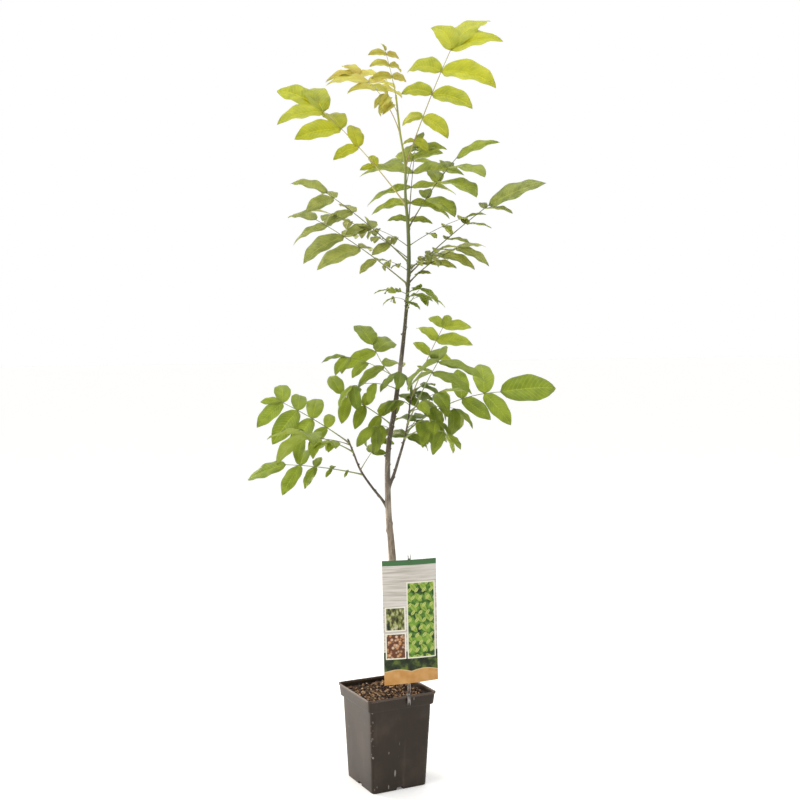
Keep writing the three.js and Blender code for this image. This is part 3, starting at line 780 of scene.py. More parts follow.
seats, ways, sizes = [], [], []
for height, bearing, stand, _ in bud_scars:
    t = stem_share(height)
    out = level_way(bearing)
    seats.append(plant_turn @ (stem_path(t) + out * (stem_radius(t) + stand * 0.5)) * MM)
    ways.append(plant_turn @ (out + UP * bud_rule.uniform(0.3, 1.1)).normalized())
    sizes.append(bud_rule.uniform(1.3, 2.3) * MM)
for centre, bearing, radius in bough_buds:
    out = level_way(bearing)
    seats.append(plant_turn @ (centre + out * (radius + 0.4)) * MM)
    ways.append(plant_turn @ (out + UP * 1.2).normalized())
    sizes.append(bud_rule.uniform(1.1, 1.7) * MM)
bud_points = points_mesh("bud_points", seats, outwards=ways, size=sizes)
buds = grown("buds", bud_points, bud_tree(), Slimness=0.62, Finish=bud_scale)
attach(buds, "root")


# ------------------------------------------------------------------ the leaf stalks
# Each walnut leaf has one long stalk that its leaflets sit on. It is green and supple, thick at the
# foot where it clasps its scar, and as thin as a straw at the end leaflet.

# Where each leaf stands on its limb, where it points and how far it goes, in millimetres and degrees,
# and its leaflets: their lengths from the stem out, and how they spread, roll, hang, curl and fold.
usual_leaf = dict(
    limb="stem", arch=8, first=0.3, last=0.93, left=1, roll=0, spread=66, tip_spread=None, swing=0,
    tip_turn=0, skyward=0, droop=18, curl=40, sickle=0, tip_sickle=0, fold=12, stalk=3.4,
)
leaf_rows = {
    "leaf_tip_upright": dict(
        at=1424, bearing=125, reach=40, rise=104, arch=2, stalk=2.4, first=0.42, last=0.9,
        blades=(46, 46, 42, 26), spread=74, droop=0, curl=30, sickle=30, fold=24, seed=4,
        sort="tip",
    ),
    "leaf_tip_left": dict(
        at=1352, bearing=129, reach=138, rise=140, arch=16, stalk=2.6, first=0.64, last=0.97,
        blades=(72, 88, 80, 76), roll=16, spread=58, swing=20, droop=-4, curl=22, sickle=20,
        fold=22, seed=9, sort="tip",
    ),
    "leaf_tip_right": dict(
        at=1392, bearing=222, reach=30, rise=40, arch=1, stalk=2, first=0.5, last=0.85,
        blades=(50, 50, 56), spread=70, droop=50, curl=40, sickle=10, fold=30, seed=2, sort="tip",
    ),
    "leaf_top_right": dict(
        at=1285, bearing=50, reach=157, rise=270, arch=5, first=0.2, last=0.97,
        blades=(46, 80, 106, 132, 130, 132), left=0.72, roll=-20, spread=86, tip_spread=28,
        swing=8, tip_turn=4, droop=-4, curl=30, sickle=48, tip_sickle=-26, seed=3, sort="top",
    ),
    "leaf_top_left": dict(
        at=1205, bearing=150, reach=219, rise=223, first=0.36, last=0.93,
        blades=(44, 78, 118, 118, 132), left=0.86, roll=34, spread=46, tip_spread=40, swing=-22,
        tip_turn=-8, droop=0, curl=24, sickle=10, seed=5, sort="top",
    ),
    "leaf_back_high": dict(
        at=1151, bearing=85, reach=165, rise=171, arch=10, first=0.13, last=0.97,
        blades=(54, 88, 102, 114, 84, 60), left=1.04, spread=70, tip_turn=10, skyward=14, droop=2,
        curl=24, sickle=24, seed=7, sort="high",
    ),
    "leaf_back_right": dict(
        at=1158, bearing=24, reach=112, rise=152, arch=5, first=0.4, last=0.84,
        blades=(106, 122, 120, 92), left=0.6, roll=-13, spread=62, swing=18, tip_turn=40,
        skyward=40, droop=2, curl=26, sickle=16, seed=6, sort="high",
    ),
    "leaf_far_right": dict(
        at=1063, bearing=-8, reach=166, rise=141, arch=4, first=0.26, last=0.94,
        blades=(46, 56, 62, 70, 140), left=0.6, roll=-40, spread=60, swing=-16, tip_turn=8,
        skyward=40, droop=0, curl=20, fold=8, seed=8, sort="middle",
    ),
    "leaf_low_right": dict(
        at=1044, bearing=30, reach=127, rise=80, first=0.22, last=0.92,
        blades=(30, 62, 74, 78, 68), roll=-16, spread=58, swing=-15, droop=8, curl=24, seed=11,
        sort="middle",
    ),
    "leaf_far_left": dict(
        at=1088, bearing=160, reach=184, rise=150, arch=6, first=0.24, last=0.92,
        blades=(46, 68, 72, 74, 88), roll=20, spread=60, swing=-12, droop=4, curl=30, seed=12,
        sort="middle",
    ),
    "leaf_low_left": dict(
        at=1042, bearing=146, reach=240, rise=146, arch=6, first=0.34, last=0.87,
        blades=(34, 66, 70, 66, 86), left=1.55, roll=26, spread=74, tip_spread=48, droop=8,
        curl=34, seed=13, sort="middle",
    ),
    "leaf_front_small": dict(
        at=988, bearing=-62, reach=62, rise=46, arch=4, stalk=2.6, first=0.3, last=0.95,
        blades=(26, 40, 48, 48), tip_turn=50, droop=16, sickle=16, seed=14, sort="shaded",
    ),
    "leaf_left_fan": dict(
        limb="left", at=0.93, bearing=165, reach=151, rise=84, arch=4, first=0.34, last=0.97,
        blades=(50, 78, 84, 72, 44), left=1.15, roll=42, spread=80, tip_spread=60, swing=-6,
        tip_turn=-20, droop=0, curl=24, fold=8, seed=15, sort="sunny",
    ),
    "leaf_left_low": dict(
        limb="left", at=0.55, bearing=165, reach=172, rise=16, arch=4, first=0.2, last=0.8,
        blades=(14, 26, 50, 74, 90), roll=40, spread=74, tip_turn=-14, droop=6, curl=26, fold=8,
        seed=16, sort="sunny",
    ),
    "leaf_left_front": dict(
        limb="left", at=0.8, bearing=214, reach=118, rise=44, arch=5, first=0.45, last=0.94,
        blades=(58, 100, 100), roll=-24, spread=62, droop=12, curl=30, seed=17, sort="low",
    ),
    "leaf_left_sprig": dict(
        limb="left", at=0.6, bearing=24, reach=54, rise=70, arch=2, stalk=2.2, first=0.5,
        last=0.84, blades=(34, 34, 36), roll=-30, droop=2, curl=20, seed=18, sort="low",
    ),
    "leaf_inner_low": dict(
        at=752, bearing=162, reach=114, rise=64, arch=5, first=0.25, last=0.86,
        blades=(56, 60, 62, 76), roll=44, spread=92, swing=-8, tip_turn=40, droop=4, curl=26,
        seed=19, sort="low",
    ),
    "leaf_inner_high": dict(
        at=846, bearing=114, reach=136, rise=74, arch=-12, first=0.18, last=0.86,
        blades=(60, 92, 98, 90), left=0.75, roll=10, spread=78, swing=-30, tip_turn=-6, droop=2,
        curl=26, seed=20, sort="low",
    ),
    "leaf_right_young": dict(
        limb="right", at=0.97, bearing=60, reach=149, rise=153, arch=4, stalk=2.8, first=0.38,
        last=0.97, blades=(22, 56, 84, 64, 44), left=0.9, roll=-30, spread=62, tip_spread=50,
        swing=8, droop=-4, curl=26, sickle=14, seed=21, sort="young",
    ),
    "leaf_right_front": dict(
        limb="right", at=0.74, bearing=-58, reach=116, rise=136, arch=4, first=0.8, last=0.97,
        blades=(88, 112, 84), roll=2, spread=86, tip_turn=30, skyward=20, droop=14, curl=24,
        fold=14, seed=22, sort="shaded",
    ),
    "leaf_right_long": dict(
        limb="right", at=0.66, bearing=12, reach=205, rise=82, arch=20, first=0.4, last=0.84,
        blades=(36, 72, 86, 140), left=1.25, roll=-58, spread=66, swing=-6, tip_turn=-6, droop=0,
        curl=22, fold=8, seed=23, sort="sunny",
    ),
    "leaf_right_hanging": dict(
        limb="right", at=0.6, bearing=-40, reach=114, rise=16, arch=14, first=0.58, last=0.9,
        blades=(48, 52, 44), spread=70, droop=34, curl=24, seed=24, sort="low",
    ),
    "leaf_back_low": dict(
        limb="right", at=0.5, bearing=66, reach=84, rise=60, arch=6, first=0.35, last=0.88,
        blades=(62, 70, 60), roll=-16, droop=10, seed=25, sort="shaded",
    ),
    "leaf_right_back": dict(
        limb="right", at=0.86, bearing=56, reach=110, rise=22, arch=6, first=0.25, last=0.85,
        blades=(70, 64, 56, 50), roll=-36, droop=6, curl=30, seed=26, sort="shaded",
    ),
}
# Small leaves on spurs, which fill the crown between the large ones and have no solids of their own.
spur_leaves = [
    dict(
        at=1236, bearing=60, reach=46, rise=94, arch=4, stalk=2.2, first=0.72, last=0.93,
        blades=(72, 66, 54), left=0.8, spread=70, skyward=10, droop=0, curl=26, seed=31,
        sort="high",
    ),
    dict(
        at=1120, bearing=168, reach=74, rise=40, arch=4, stalk=2, first=0.4, last=0.9,
        blades=(36, 42, 44), spread=70, skyward=30, droop=6, curl=34, seed=32, sort="middle",
    ),
    dict(
        at=1070, bearing=190, reach=46, rise=22, arch=3, stalk=1.8, first=0.5, last=0.9,
        blades=(30, 36, 38), skyward=40, droop=6, seed=33, sort="middle",
    ),
    dict(
        at=1072, bearing=-20, reach=70, rise=44, arch=4, stalk=2, first=0.35, last=0.9,
        blades=(36, 42, 46, 46), skyward=30, droop=4, curl=34, seed=34, sort="middle",
    ),
    dict(
        at=1022, bearing=200, reach=44, rise=10, arch=3, stalk=1.8, first=0.5, last=0.9,
        blades=(26, 30, 34), skyward=60, droop=4, seed=35, sort="high",
    ),
    dict(
        at=1008, bearing=175, reach=30, rise=8, arch=3, stalk=1.6, first=0.6, last=0.9,
        blades=(26, 30), skyward=60, seed=36, sort="high",
    ),
    dict(
        at=858, bearing=-86, reach=26, rise=6, arch=3, stalk=2, first=0.5, last=0.8,
        blades=(58, 56), roll=20, droop=30, seed=37, sort="shaded",
    ),
    dict(
        at=742, bearing=226, reach=52, rise=8, arch=6, stalk=2, first=0.5, last=0.9,
        blades=(52, 58, 54), roll=30, droop=46, seed=38, sort="low",
    ),
    dict(
        at=828, bearing=190, reach=96, rise=6, arch=10, stalk=2.2, first=0.5, last=0.95,
        blades=(46, 56, 54), roll=20, droop=50, seed=39, sort="sunny",
    ),
    dict(
        limb="right", at=0.84, bearing=-12, reach=62, rise=46, arch=6, stalk=2.2, first=0.4,
        last=0.9, blades=(52, 60, 62), droop=14, seed=40, sort="sunny",
    ),
    dict(
        limb="right", at=0.7, bearing=-34, reach=74, rise=18, arch=8, stalk=2.2, first=0.4,
        last=0.95, blades=(44, 50, 52, 46), roll=-10, droop=40, seed=41, sort="low",
    ),
    dict(
        limb="right", at=0.92, bearing=160, reach=34, rise=10, arch=4, stalk=2, first=0.5,
        last=0.9, blades=(40, 44, 44), droop=20, seed=42, sort="low",
    ),
    dict(
        at=1004, bearing=-14, reach=34, rise=16, arch=3, stalk=1.8, first=0.5, last=0.9,
        blades=(30, 62), droop=22, seed=43, sort="low",
    ),
    dict(
        at=1122, bearing=-8, reach=118, rise=58, arch=5, stalk=2, first=0.35, last=0.9,
        blades=(40, 48, 52, 48), skyward=30, droop=4, curl=30, seed=44, sort="high",
    ),
    dict(
        at=1066, bearing=34, reach=46, rise=38, arch=3, stalk=1.8, first=0.4, last=0.9,
        blades=(38, 44, 46), skyward=30, droop=6, curl=30, seed=45, sort="middle",
    ),
    dict(
        at=1096, bearing=172, reach=168, rise=96, arch=8, stalk=2.2, first=0.4, last=0.94,
        blades=(40, 46, 52, 52, 46), skyward=30, droop=6, curl=34, seed=46, sort="middle",
    ),
    dict(
        at=846, bearing=176, reach=112, rise=50, arch=8, stalk=2.2, first=0.62, last=0.94,
        blades=(48, 56, 58), roll=14, droop=20, seed=47, sort="low",
    ),
    dict(
        limb="left", at=0.9, bearing=184, reach=104, rise=10, arch=8, stalk=2.2, first=0.3,
        last=0.95, blades=(44, 52, 56, 52), droop=14, seed=48, sort="sunny",
    ),
    dict(
        limb="right", at=0.86, bearing=-16, reach=100, rise=8, arch=8, stalk=2.2, first=0.5,
        last=0.95, blades=(50, 58, 56), roll=-14, droop=46, seed=49, sort="low",
    ),
    dict(
        limb="right", at=0.96, bearing=58, reach=50, rise=30, arch=4, stalk=2, first=0.4, last=0.9,
        blades=(48, 56, 54), droop=20, seed=50, sort="shaded",
    ),
]
all_leaves = [*leaf_rows.values(), *spur_leaves]
for row in all_leaves:
    for key, value in usual_leaf.items():
        row.setdefault(key, value)

stalk_tip = 0.45  # thickness of a stalk's end, as a share of its foot


def leaf_stalk(leaf):
    """A leaf's stalk as a function: place, way ahead, way right and top at a share of it."""
    limb = limb_paths[leaf["limb"]]
    foot = limb(stem_share(leaf["at"]) if leaf["limb"] == "stem" else leaf["at"])
    end = foot + level_way(leaf["bearing"]) * leaf["reach"] + UP * leaf["rise"]
    chord = (end - foot).normalized()
    bow = chord.cross(UP).cross(chord).normalized()
    middle = (foot + end) / 2 + bow * 2 * leaf["arch"]

    def stalk_at(s):
        point = foot * (1 - s) ** 2 + middle * 2 * s * (1 - s) + end * s * s
        ahead = ((middle - foot) * (1 - s) + (end - middle) * s).normalized()
        roll = Matrix.Rotation(-math.radians(leaf["roll"]), 3, ahead)
        right = roll @ ahead.cross(UP).normalized()
        return point, ahead, right, right.cross(ahead)

    return stalk_at


def stalk_width(leaf, s):
    return leaf["stalk"] * (1 + (stalk_tip - 1) * math.sqrt(s))


def stalk_tree():
    """Gives each line of points a round section as thick as the points say."""
    tree, given = growth_tree("leaf stalks", Int=["Sides"], Material=["Finish"])
    line = Measure.node(tree, "GeometryNodeMeshToCurve", None, {"Mesh": given["Geometry"]})
    circle = {"Resolution": given["Sides"], "Radius": 0.5}
    section = Measure.node(tree, "GeometryNodeCurvePrimitiveCircle", None, circle)
    sized = {"Curve": line, "Profile Curve": section, "Fill Caps": True}
    sized["Scale"] = carried(tree, "thickness")
    tube = Measure.node(tree, "GeometryNodeCurveToMesh", None, sized)
    smooth = Measure.node(tree, "GeometryNodeSetShadeSmooth", None, {"Geometry": tube})
    return finished_tree(tree, smooth, given["Finish"])


def stalk_finish(name, light, dark):
    """Green stalk skin, blotched with a second colour along it."""
    material, tree, place = new_finish(name)
    blush = noisy(place, 36, 3)
    colour = tinted(ramped(blush, 0.4, 0.7), (*light, 1), (*dark, 1))
    skin = bumped(noisy(place, 500), 0.2, 0.0003)
    surface(coat(tree, Base_Color=colour, Roughness=0.45, Normal=skin))
    return material


stalk_steps = 26
stalk_sorts = {
    "stalks_young": (("tip", "top", "young"), (0.36, 0.34, 0.08), (0.3, 0.2, 0.09)),
    "stalks_grown": (("high", "middle"), (0.16, 0.18, 0.045), (0.1, 0.08, 0.035)),
    "stalks_low": (("sunny", "low", "shaded"), (0.22, 0.27, 0.07), (0.17, 0.16, 0.06)),
}
grow_stalks = stalk_tree()
for piece_name, (sorts, light, dark) in stalk_sorts.items():
    leaves = [leaf for leaf in all_leaves if leaf["sort"] in sorts]
    nodes = [name for name, leaf in leaf_rows.items() if leaf["sort"] in sorts]
    points, edges, thicknesses = [], [], []
    for leaf in leaves:
        stalk_at = leaf_stalk(leaf)
        for i in range(stalk_steps + 1):
            s = i / stalk_steps
            if i:
                edges.append((len(points) - 1, len(points)))
            points.append(plant_turn @ stalk_at(s)[0] * MM)
            swelling = 1 + 0.75 * math.exp(-s / 0.045)
            thicknesses.append(stalk_width(leaf, s) * swelling * MM)
    lines = points_mesh(piece_name + "_lines", points, edges, thickness=thicknesses)
    finish = stalk_finish(piece_name.replace("_", " "), light, dark)
    stalks = grown(piece_name, lines, grow_stalks, Sides=9, Finish=finish)
    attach(stalks, "root")
    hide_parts(*nodes)


# ------------------------------------------------------------------ the leaflets
# Thin walnut leaflets in pairs along each stalk, with one at its end. A pale rib stands out below, side
# veins press into the upper side, and the margin runs in slow waves to a drawn tip that curls down.


def leaflet_tree():
    """Grows a leaflet on each point from a grid, bent and folded as the point says."""
    tree, given = growth_tree(
        "walnut leaflets",
        Int=["Stations", "Columns"],
        Float=["Width", "Thickness", "Rib", "Ripple", "Waves", "Camber", "Tip hook"],
        Material=["Upper side", "Underside"],
    )

    def kept(geometry, name, value):
        settings = {"data_type": "FLOAT", "domain": "POINT"}
        inputs = {"Geometry": geometry, "Name": name, "Value": value}
        return Measure.node(tree, "GeometryNodeStoreNamedAttribute", settings, inputs)

    cells = {"Vertices X": given["Stations"], "Vertices Y": given["Columns"]}
    flat = {"Size X": 1.0, "Size Y": 2.0, **cells}
    grid = Measure.node(tree, "GeometryNodeMeshGrid", None, flat, "Mesh")
    x, y, _ = split(Measure.node(tree, "GeometryNodeInputPosition"))
    sheet = kept(grid, "station", x + 0.5)
    sheet = kept(sheet, "across", y.joined("SIGN") * abs(y) ** 2.1)
    turned = Measure.node(tree, "GeometryNodeFlipFaces", None, {"Mesh": sheet})
    both = [kept(sheet, "face_up", 1.0), kept(turned, "face_up", -1.0)]
    blade = Measure.node(tree, "GeometryNodeJoinGeometry", None, {"Geometry": both})
    dealing = {"Points": given["Geometry"], "Instance": blade}
    dealt = Measure.node(tree, "GeometryNodeInstanceOnPoints", None, dealing)
    real = Measure.node(tree, "GeometryNodeRealizeInstances", None, {"Geometry": dealt})

    def sine(value):
        return value.joined("SINE")

    def cosine(value):
        return value.joined("COSINE")

    s, t, face_up = (carried(tree, name) for name in ("station", "across", "face_up"))
    length, bend, twist = (carried(tree, name) for name in ("length", "bend", "twist"))
    fold, foot, phase = (carried(tree, name) for name in ("fold", "foot", "phase"))
    curved = carried(tree, "sickle") * s
    edge = abs(t)
    # across: the outline with its broad foot, the waves of the margin, the fold, camber, skin and rib
    outline = sine(math.pi * s**0.85) ** 0.62 * (1 - 0.28 * ramped(s, 0.74, 1.0))
    half = outline * given["Width"] * length / 2 + foot * (1 - s) ** 7
    out = t * half
    side = t.joined("SIGN")
    wave = sine(s * given["Waves"] * 2 * math.pi + phase * 6.0 + side * 1.9)
    wave = wave * given["Ripple"] * length * edge * edge * sine(math.pi * s)
    closed = fold * (5 * s).joined("MINIMUM", 1.0)
    camber = given["Camber"] * half * sine(math.pi * edge)
    body = (1 - edge * edge) * (14 * s).joined("MINIMUM", 1.0) * (1 - s * s)
    rib = given["Rib"] * ramped(edge, 0.1, 0.0) * (1.1 - s) * (14 * s).joined("MINIMUM", 1.0)
    skin = face_up * given["Thickness"] * body - rib * (1.15 - face_up) / 2
    flat_out = out * cosine(closed)
    lift = abs(out) * sine(closed) + wave + camber + skin
    # along: the twist, the hook of the tip, the sickle to one side and the bend down
    turn = twist * s
    sideways = flat_out * cosine(turn) - lift * sine(turn)
    upwards = flat_out * sine(turn) + lift * cosine(turn) - given["Tip hook"] * length * s**5
    beyond = s * length * (1 - curved * curved / 6) - sideways * sine(curved)
    aside = curved * s * length * (1 - curved * curved / 12) / 2 + sideways * cosine(curved)
    lead = 0.12  # the bend has begun by this share at the foot
    start, angle = bend * lead, bend * (beyond / length + lead)
    run = (sine(angle) - sine(start)) * length / bend
    drop = (cosine(start) - cosine(angle)) * length / bend
    root, ahead, upward = (carried(tree, name, "FLOAT_VECTOR") for name in ("root", "ahead", "upward"))
    left = upward.joined("CROSS_PRODUCT", ahead)
    spot = root + ahead * (run + upwards * sine(angle))
    spot = spot + upward * (upwards * cosine(angle) - drop) + left * aside
    bent = {"Geometry": real, "Position": spot}
    shaped = Measure.node(tree, "GeometryNodeSetPosition", None, bent)
    seam = {"Geometry": shaped, "Distance": 0.000004}  # joins the two sides along the margin
    sewn = Measure.node(tree, "GeometryNodeMergeByDistance", None, seam)
    smooth = Measure.node(tree, "GeometryNodeSetShadeSmooth", None, {"Geometry": sewn})
    rim = {"Geometry": smooth, "Selection": edge > 0.999, "Shade Smooth": False}
    done = Measure.node(tree, "GeometryNodeSetShadeSmooth", {"domain": "EDGE"}, rim)
    for label, where in (("Upper side", True), ("Underside", face_up < 0.0)):
        inputs = {"Geometry": done, "Material": given[label], "Selection": where}
        done = Measure.node(tree, "GeometryNodeSetMaterial", None, inputs)
    Measure.node(tree, "NodeGroupOutput", None, {0: done}, result=None)
    return tree


def leaf_finish(name, colour, deep, glow, veins, roughness=0.38, gleam=0.3):
    """Leaf skin: a rib and side veins, a little cloudiness, and light that comes through."""
    material, tree, place = new_finish(name)
    station, shade = stored(tree, "station"), stored(tree, "shade")
    edge = abs(stored(tree, "across"))
    order = (station - 0.13 * edge - 0.07 * edge * edge) * 13
    off_vein = abs(order.joined("FRACT") - 0.5)
    vein = ramped(off_vein, 0.14, 0.0) * ramped(edge, 1.0, 0.7)
    rib = ramped(edge, 0.05, 0.015)
    clouds = noisy(place, 55, 4)
    cloudy = tinted(ramped(clouds, 0.38, 0.64) * 0.5 + shade * 0.6, (*colour, 1), (*deep, 1))
    toned = tinted((vein * 0.8 + rib) * veins, cloudy, (*glow, 1))
    swell = abs(off_vein - 0.25) * -1.0 - vein * 0.25 + noisy(place, 420, 2) * 0.12
    relief = bumped(swell, 0.9, 0.002)
    skin = coat(tree, Base_Color=toned, Roughness=roughness, Specular_IOR_Level=0.5, Normal=relief)
    through = Measure.node(tree, "ShaderNodeBsdfTranslucent", None, {"Color": (*glow, 1)})
    surface(Measure.node(tree, "ShaderNodeMixShader", None, {0: gleam, 1: skin, 2: through}))
    return material


# each sort's upper side, its darker patches, its underside, and the tone of veins and of light that
# comes through the blade
leaflet_sorts = {
    "tip": ((0.69, 0.69, 0.127), (0.5, 0.38, 0.05), (0.638, 0.627, 0.22), (0.85, 0.799, 0.173)),
    "top": ((0.529, 0.552, 0.023), (0.28, 0.34, 0.015), (0.616, 0.638, 0.22), (0.81, 0.788, 0.054)),
    "young": ((0.517, 0.598, 0.063), (0.26, 0.35, 0.025), (0.55, 0.616, 0.198), (0.734, 0.778, 0.097)),
    "high": ((0.418, 0.479, 0.056), (0.14, 0.2, 0.018), (0.549, 0.595, 0.229), (0.657, 0.692, 0.102)),
    "middle": ((0.468, 0.504, 0.123), (0.15, 0.19, 0.03), (0.595, 0.618, 0.343), (0.635, 0.657, 0.193)),
    "sunny": ((0.358, 0.449, 0.036), (0.12, 0.19, 0.012), (0.526, 0.583, 0.194), (0.657, 0.726, 0.08)),
    "low": ((0.316, 0.396, 0.028), (0.085, 0.14, 0.008), (0.458, 0.526, 0.172), (0.59, 0.657, 0.068)),
    "shaded": ((0.219, 0.305, 0.019), (0.055, 0.1, 0.006), (0.389, 0.458, 0.149), (0.477, 0.544, 0.057)),
}


def even_run(seed):
    """A repeatable run of numbers from -1 to 1."""
    state = seed * 7919 % 2**32
    while True:
        state = (state * 1664525 + 1013904223) % 2**32
        yield state / 2**31 - 1


def leaflets_of(leaf):
    """What grows on one stalk: a row of numbers for each leaflet, stem end first."""
    stalk_at = leaf_stalk(leaf)
    run, loose = even_run(leaf["seed"]), even_run(leaf["seed"] + 500)
    pairs = len(leaf["blades"]) - 1
    seats = []
    for i in range(pairs):
        share = i / (pairs - 1) if pairs > 1 else 1
        s = leaf["first"] + (leaf["last"] - leaf["first"]) * share
        seats += [(s, 1, leaf["blades"][i]), (s, -1, leaf["blades"][i])]
    seats.append((1, 0, leaf["blades"][pairs]))
    for s, side, blade in seats:  # side is 1 on the right, -1 on the left and 0 for the end leaflet
        point, ahead, right, top = stalk_at(s)
        end_leaflet = side == 0
        closing = ((s - leaf["first"]) / (leaf["last"] - leaf["first"])) ** 4
        tip_spread = leaf["spread"] if leaf["tip_spread"] is None else leaf["tip_spread"]
        open_by = leaf["spread"] + (tip_spread - leaf["spread"]) * closing
        spread = side * math.radians(open_by + 8 * next(run)) + abs(side) * math.radians(leaf["swing"])
        droop = math.radians(leaf["droop"] + 10 * next(run)) * (0.4 if end_leaflet else 1)
        length = blade * (1 + 0.1 * next(run)) * (leaf["left"] if side < 0 else 1)
        curl = leaf["curl"] * (0.6 if end_leaflet else 1) * (1 + 0.4 * next(run))
        slack = next(run)
        sickle = leaf["tip_sickle"] if end_leaflet else -side * leaf["sickle"] * (1 + 0.4 * slack)
        fold = leaf["fold"] * (1 + 0.5 * next(run))
        turn = math.radians(leaf["tip_turn"]) if end_leaflet else spread
        level = ahead * math.cos(turn) + right * math.sin(turn)
        forward = level * math.cos(droop) - top * math.sin(droop)
        normal = top * math.cos(droop) + level * math.sin(droop)
        to_the_sky = Matrix.Rotation(-side * math.radians(leaf["skyward"]), 3, forward)
        yield dict(
            root=plant_turn @ (point - ahead * (2 if end_leaflet else 0)) * MM,
            ahead=plant_turn @ forward,
            upward=plant_turn @ (to_the_sky @ normal),
            length=length * MM,
            bend=math.radians(curl),
            sickle=math.radians(sickle),
            twist=math.radians(16 * slack),
            fold=math.radians(fold),
            foot=stalk_width(leaf, s) * 0.4 * MM,
            phase=next(loose),
            shade=0.5 + 0.5 * next(loose),
        )


grow_leaflets = leaflet_tree()
for sort, (upper, deep, under, glow) in leaflet_sorts.items():
    nodes = [name for name, leaf in leaf_rows.items() if leaf["sort"] == sort]
    rows = [row for leaf in all_leaves if leaf["sort"] == sort for row in leaflets_of(leaf)]
    attributes = {key: [row[key] for row in rows] for key in rows[0]}
    carrier = points_mesh(f"leaflets_{sort}_points", attributes["root"], **attributes)
    leaflets = grown(
        f"leaflets_{sort}",
        carrier,
        grow_leaflets,
        **{
            "Stations": 17,
            "Columns": 13,
            "Width": 0.46,
            "Thickness": 0.22 * MM,
            "Rib": 0.7 * MM,
            "Ripple": 0.022,
            "Waves": 2.6,
            "Camber": 0.09,
            "Tip hook": 0.05,
            "Upper side": leaf_finish(f"{sort} leaflet", upper, deep, glow, 0.5),
            "Underside": leaf_finish(f"{sort} leaflet underside", under, upper, glow, 0.35, 0.65),
        },
    )
    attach(leaflets, "root")
    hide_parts(*nodes)


# ------------------------------------------------------------------ the card and its stick
# A grower's care card, printed on coated board that has bowed a little in the damp. It hangs from a
# plastic stick of two strands, which clips over the pot's rim and holds the card by a small clasp.

card_width, card_height, card_slant, card_thickness = 113.0, 257.0, 4.0, 0.9
card_bulge, card_lean, card_top = 4.0, 1.2, 483.0
card_radius = (card_width**2 / 4 + card_bulge**2) / (2 * card_bulge)
card_half = math.asin(card_width / 2 / card_radius)
sign_place = Matrix.Translation((11, -81.7, 0)) @ Matrix.Rotation(math.radians(-15), 4, "Z")


def card_mesh():
    """The card: a bowed sheet with a face, a back and edges, and its print's own coordinates."""
    columns, rows = 48, 60
    lean = Matrix.Rotation(-math.radians(card_lean), 4, "Y")
    points, prints = [], []
    for face in (0, 1):
        for j in range(rows + 1):
            for i in range(columns + 1):
                u, v = i / columns, j / rows
                a = -math.pi / 2 + card_half * (2 * u - 1)
                r = card_radius - (card_thickness if face else 0)
                down = (card_height - card_slant * u) * v
                flat = Vector((r * math.cos(a), card_radius + r * math.sin(a), -down))
                ripple = 0.35 * noise.noise(Vector((u * 2.2, v * 3.1, 5)))
                point = lean @ (flat + Vector((0, ripple, 0)))
                point += Vector((0, -card_thickness - 0.3, card_top))
                points.append((sign_place @ point) * MM)
                from_left = 1 - u if face else u
                prints.append((card_width * from_left / card_height, 1 - down / card_height))
    row, side = columns + 1, (columns + 1) * (rows + 1)
    faces = []
    for j in range(rows):
        for i in range(columns):
            c = j * row + i
            faces.append((c + row, c + row + 1, c + 1, c))
            faces.append((side + c, side + c + 1, side + c + row + 1, side + c + row))
    for i in range(columns):
        low = rows * row + i
        faces.append((i, i + 1, side + i + 1, side + i))
        faces.append((low + 1, low, side + low, side + low + 1))
    for j in range(rows):
        near, far = j * row, j * row + columns
        faces.append((near + row, near, side + near, side + near + row))
        faces.append((far, far + row, side + far + row, side + far))
    mesh = new_mesh("care_card", points, faces)
    layer = mesh.uv_layers.new(name="print")
    for loop in mesh.loops:
        layer.data[loop.index].uv = prints[loop.vertex_index]
    return mesh


card_print, tree, place = new_finish("care card print")
printed = Measure.node(tree, "ShaderNodeUVMap", {"uv_map": "print"}) * card_height
across, up, _ = split(printed)  # millimetres from the card's lower left corner
foot_band, head_band, board_height = 68, 246, 24.5
cloud_scale = 0.01  # from millimetres on the card to the noise's own units


def picture(below, centre, size, turn, content, border=2.4):
    """A picture with a pale border, laid over what is below it."""
    c, s = math.cos(math.radians(turn)), math.sin(math.radians(turn))
    out, off = across - centre[0], up - centre[1]
    reach, rise = abs(out * c + off * s), abs(off * c - out * s)
    paper = (reach < size[0] / 2) * (rise < size[1] / 2)
    inked = (reach < size[0] / 2 - border) * (rise < size[1] / 2 - border)
    return tinted(inked, tinted(paper, below, (0.72, 0.69, 0.58, 1)), content)


def leaf_shapes(pitch, length, slimness, lean):
    """Rows of leaf shapes with a rib, every second row set off by half, as 1 inside and 0 outside."""
    row = (up / pitch).joined("FLOOR")
    along = ((across / pitch + row * 0.5).joined("FRACT") - 0.5) * pitch
    rise = ((up / pitch).joined("FRACT") - 0.5) * pitch
    c, s = math.cos(math.radians(lean)), math.sin(math.radians(lean))
    out, off = along * c + rise * s, rise * c - along * s
    share = off / (length / 2)
    return (abs(out) < (1 - share * share) * slimness) * (abs(out) > 0.35)


def patchy(scale, stops, detail=3.0, stretch=(1, 1, 1)):
    """Cloudy colour through a run of tones."""
    cloud = ramped(noisy(printed * cloud_scale, scale, detail, stretch), 0.3, 0.7)
    return graded(cloud, stops)


grain = patchy(
    9, [(0.0, (0.391, 0.355, 0.302)), (0.5, (0.533, 0.497, 0.444)), (1.0, (0.604, 0.577, 0.533))],
    4, (0.15, 3, 1),
)
board = abs((up / board_height).joined("FRACT") - 0.5)
colour = tinted(ramped(board, 0.03, 0.0) * 0.5, grain, (0.24, 0.204, 0.169, 1))

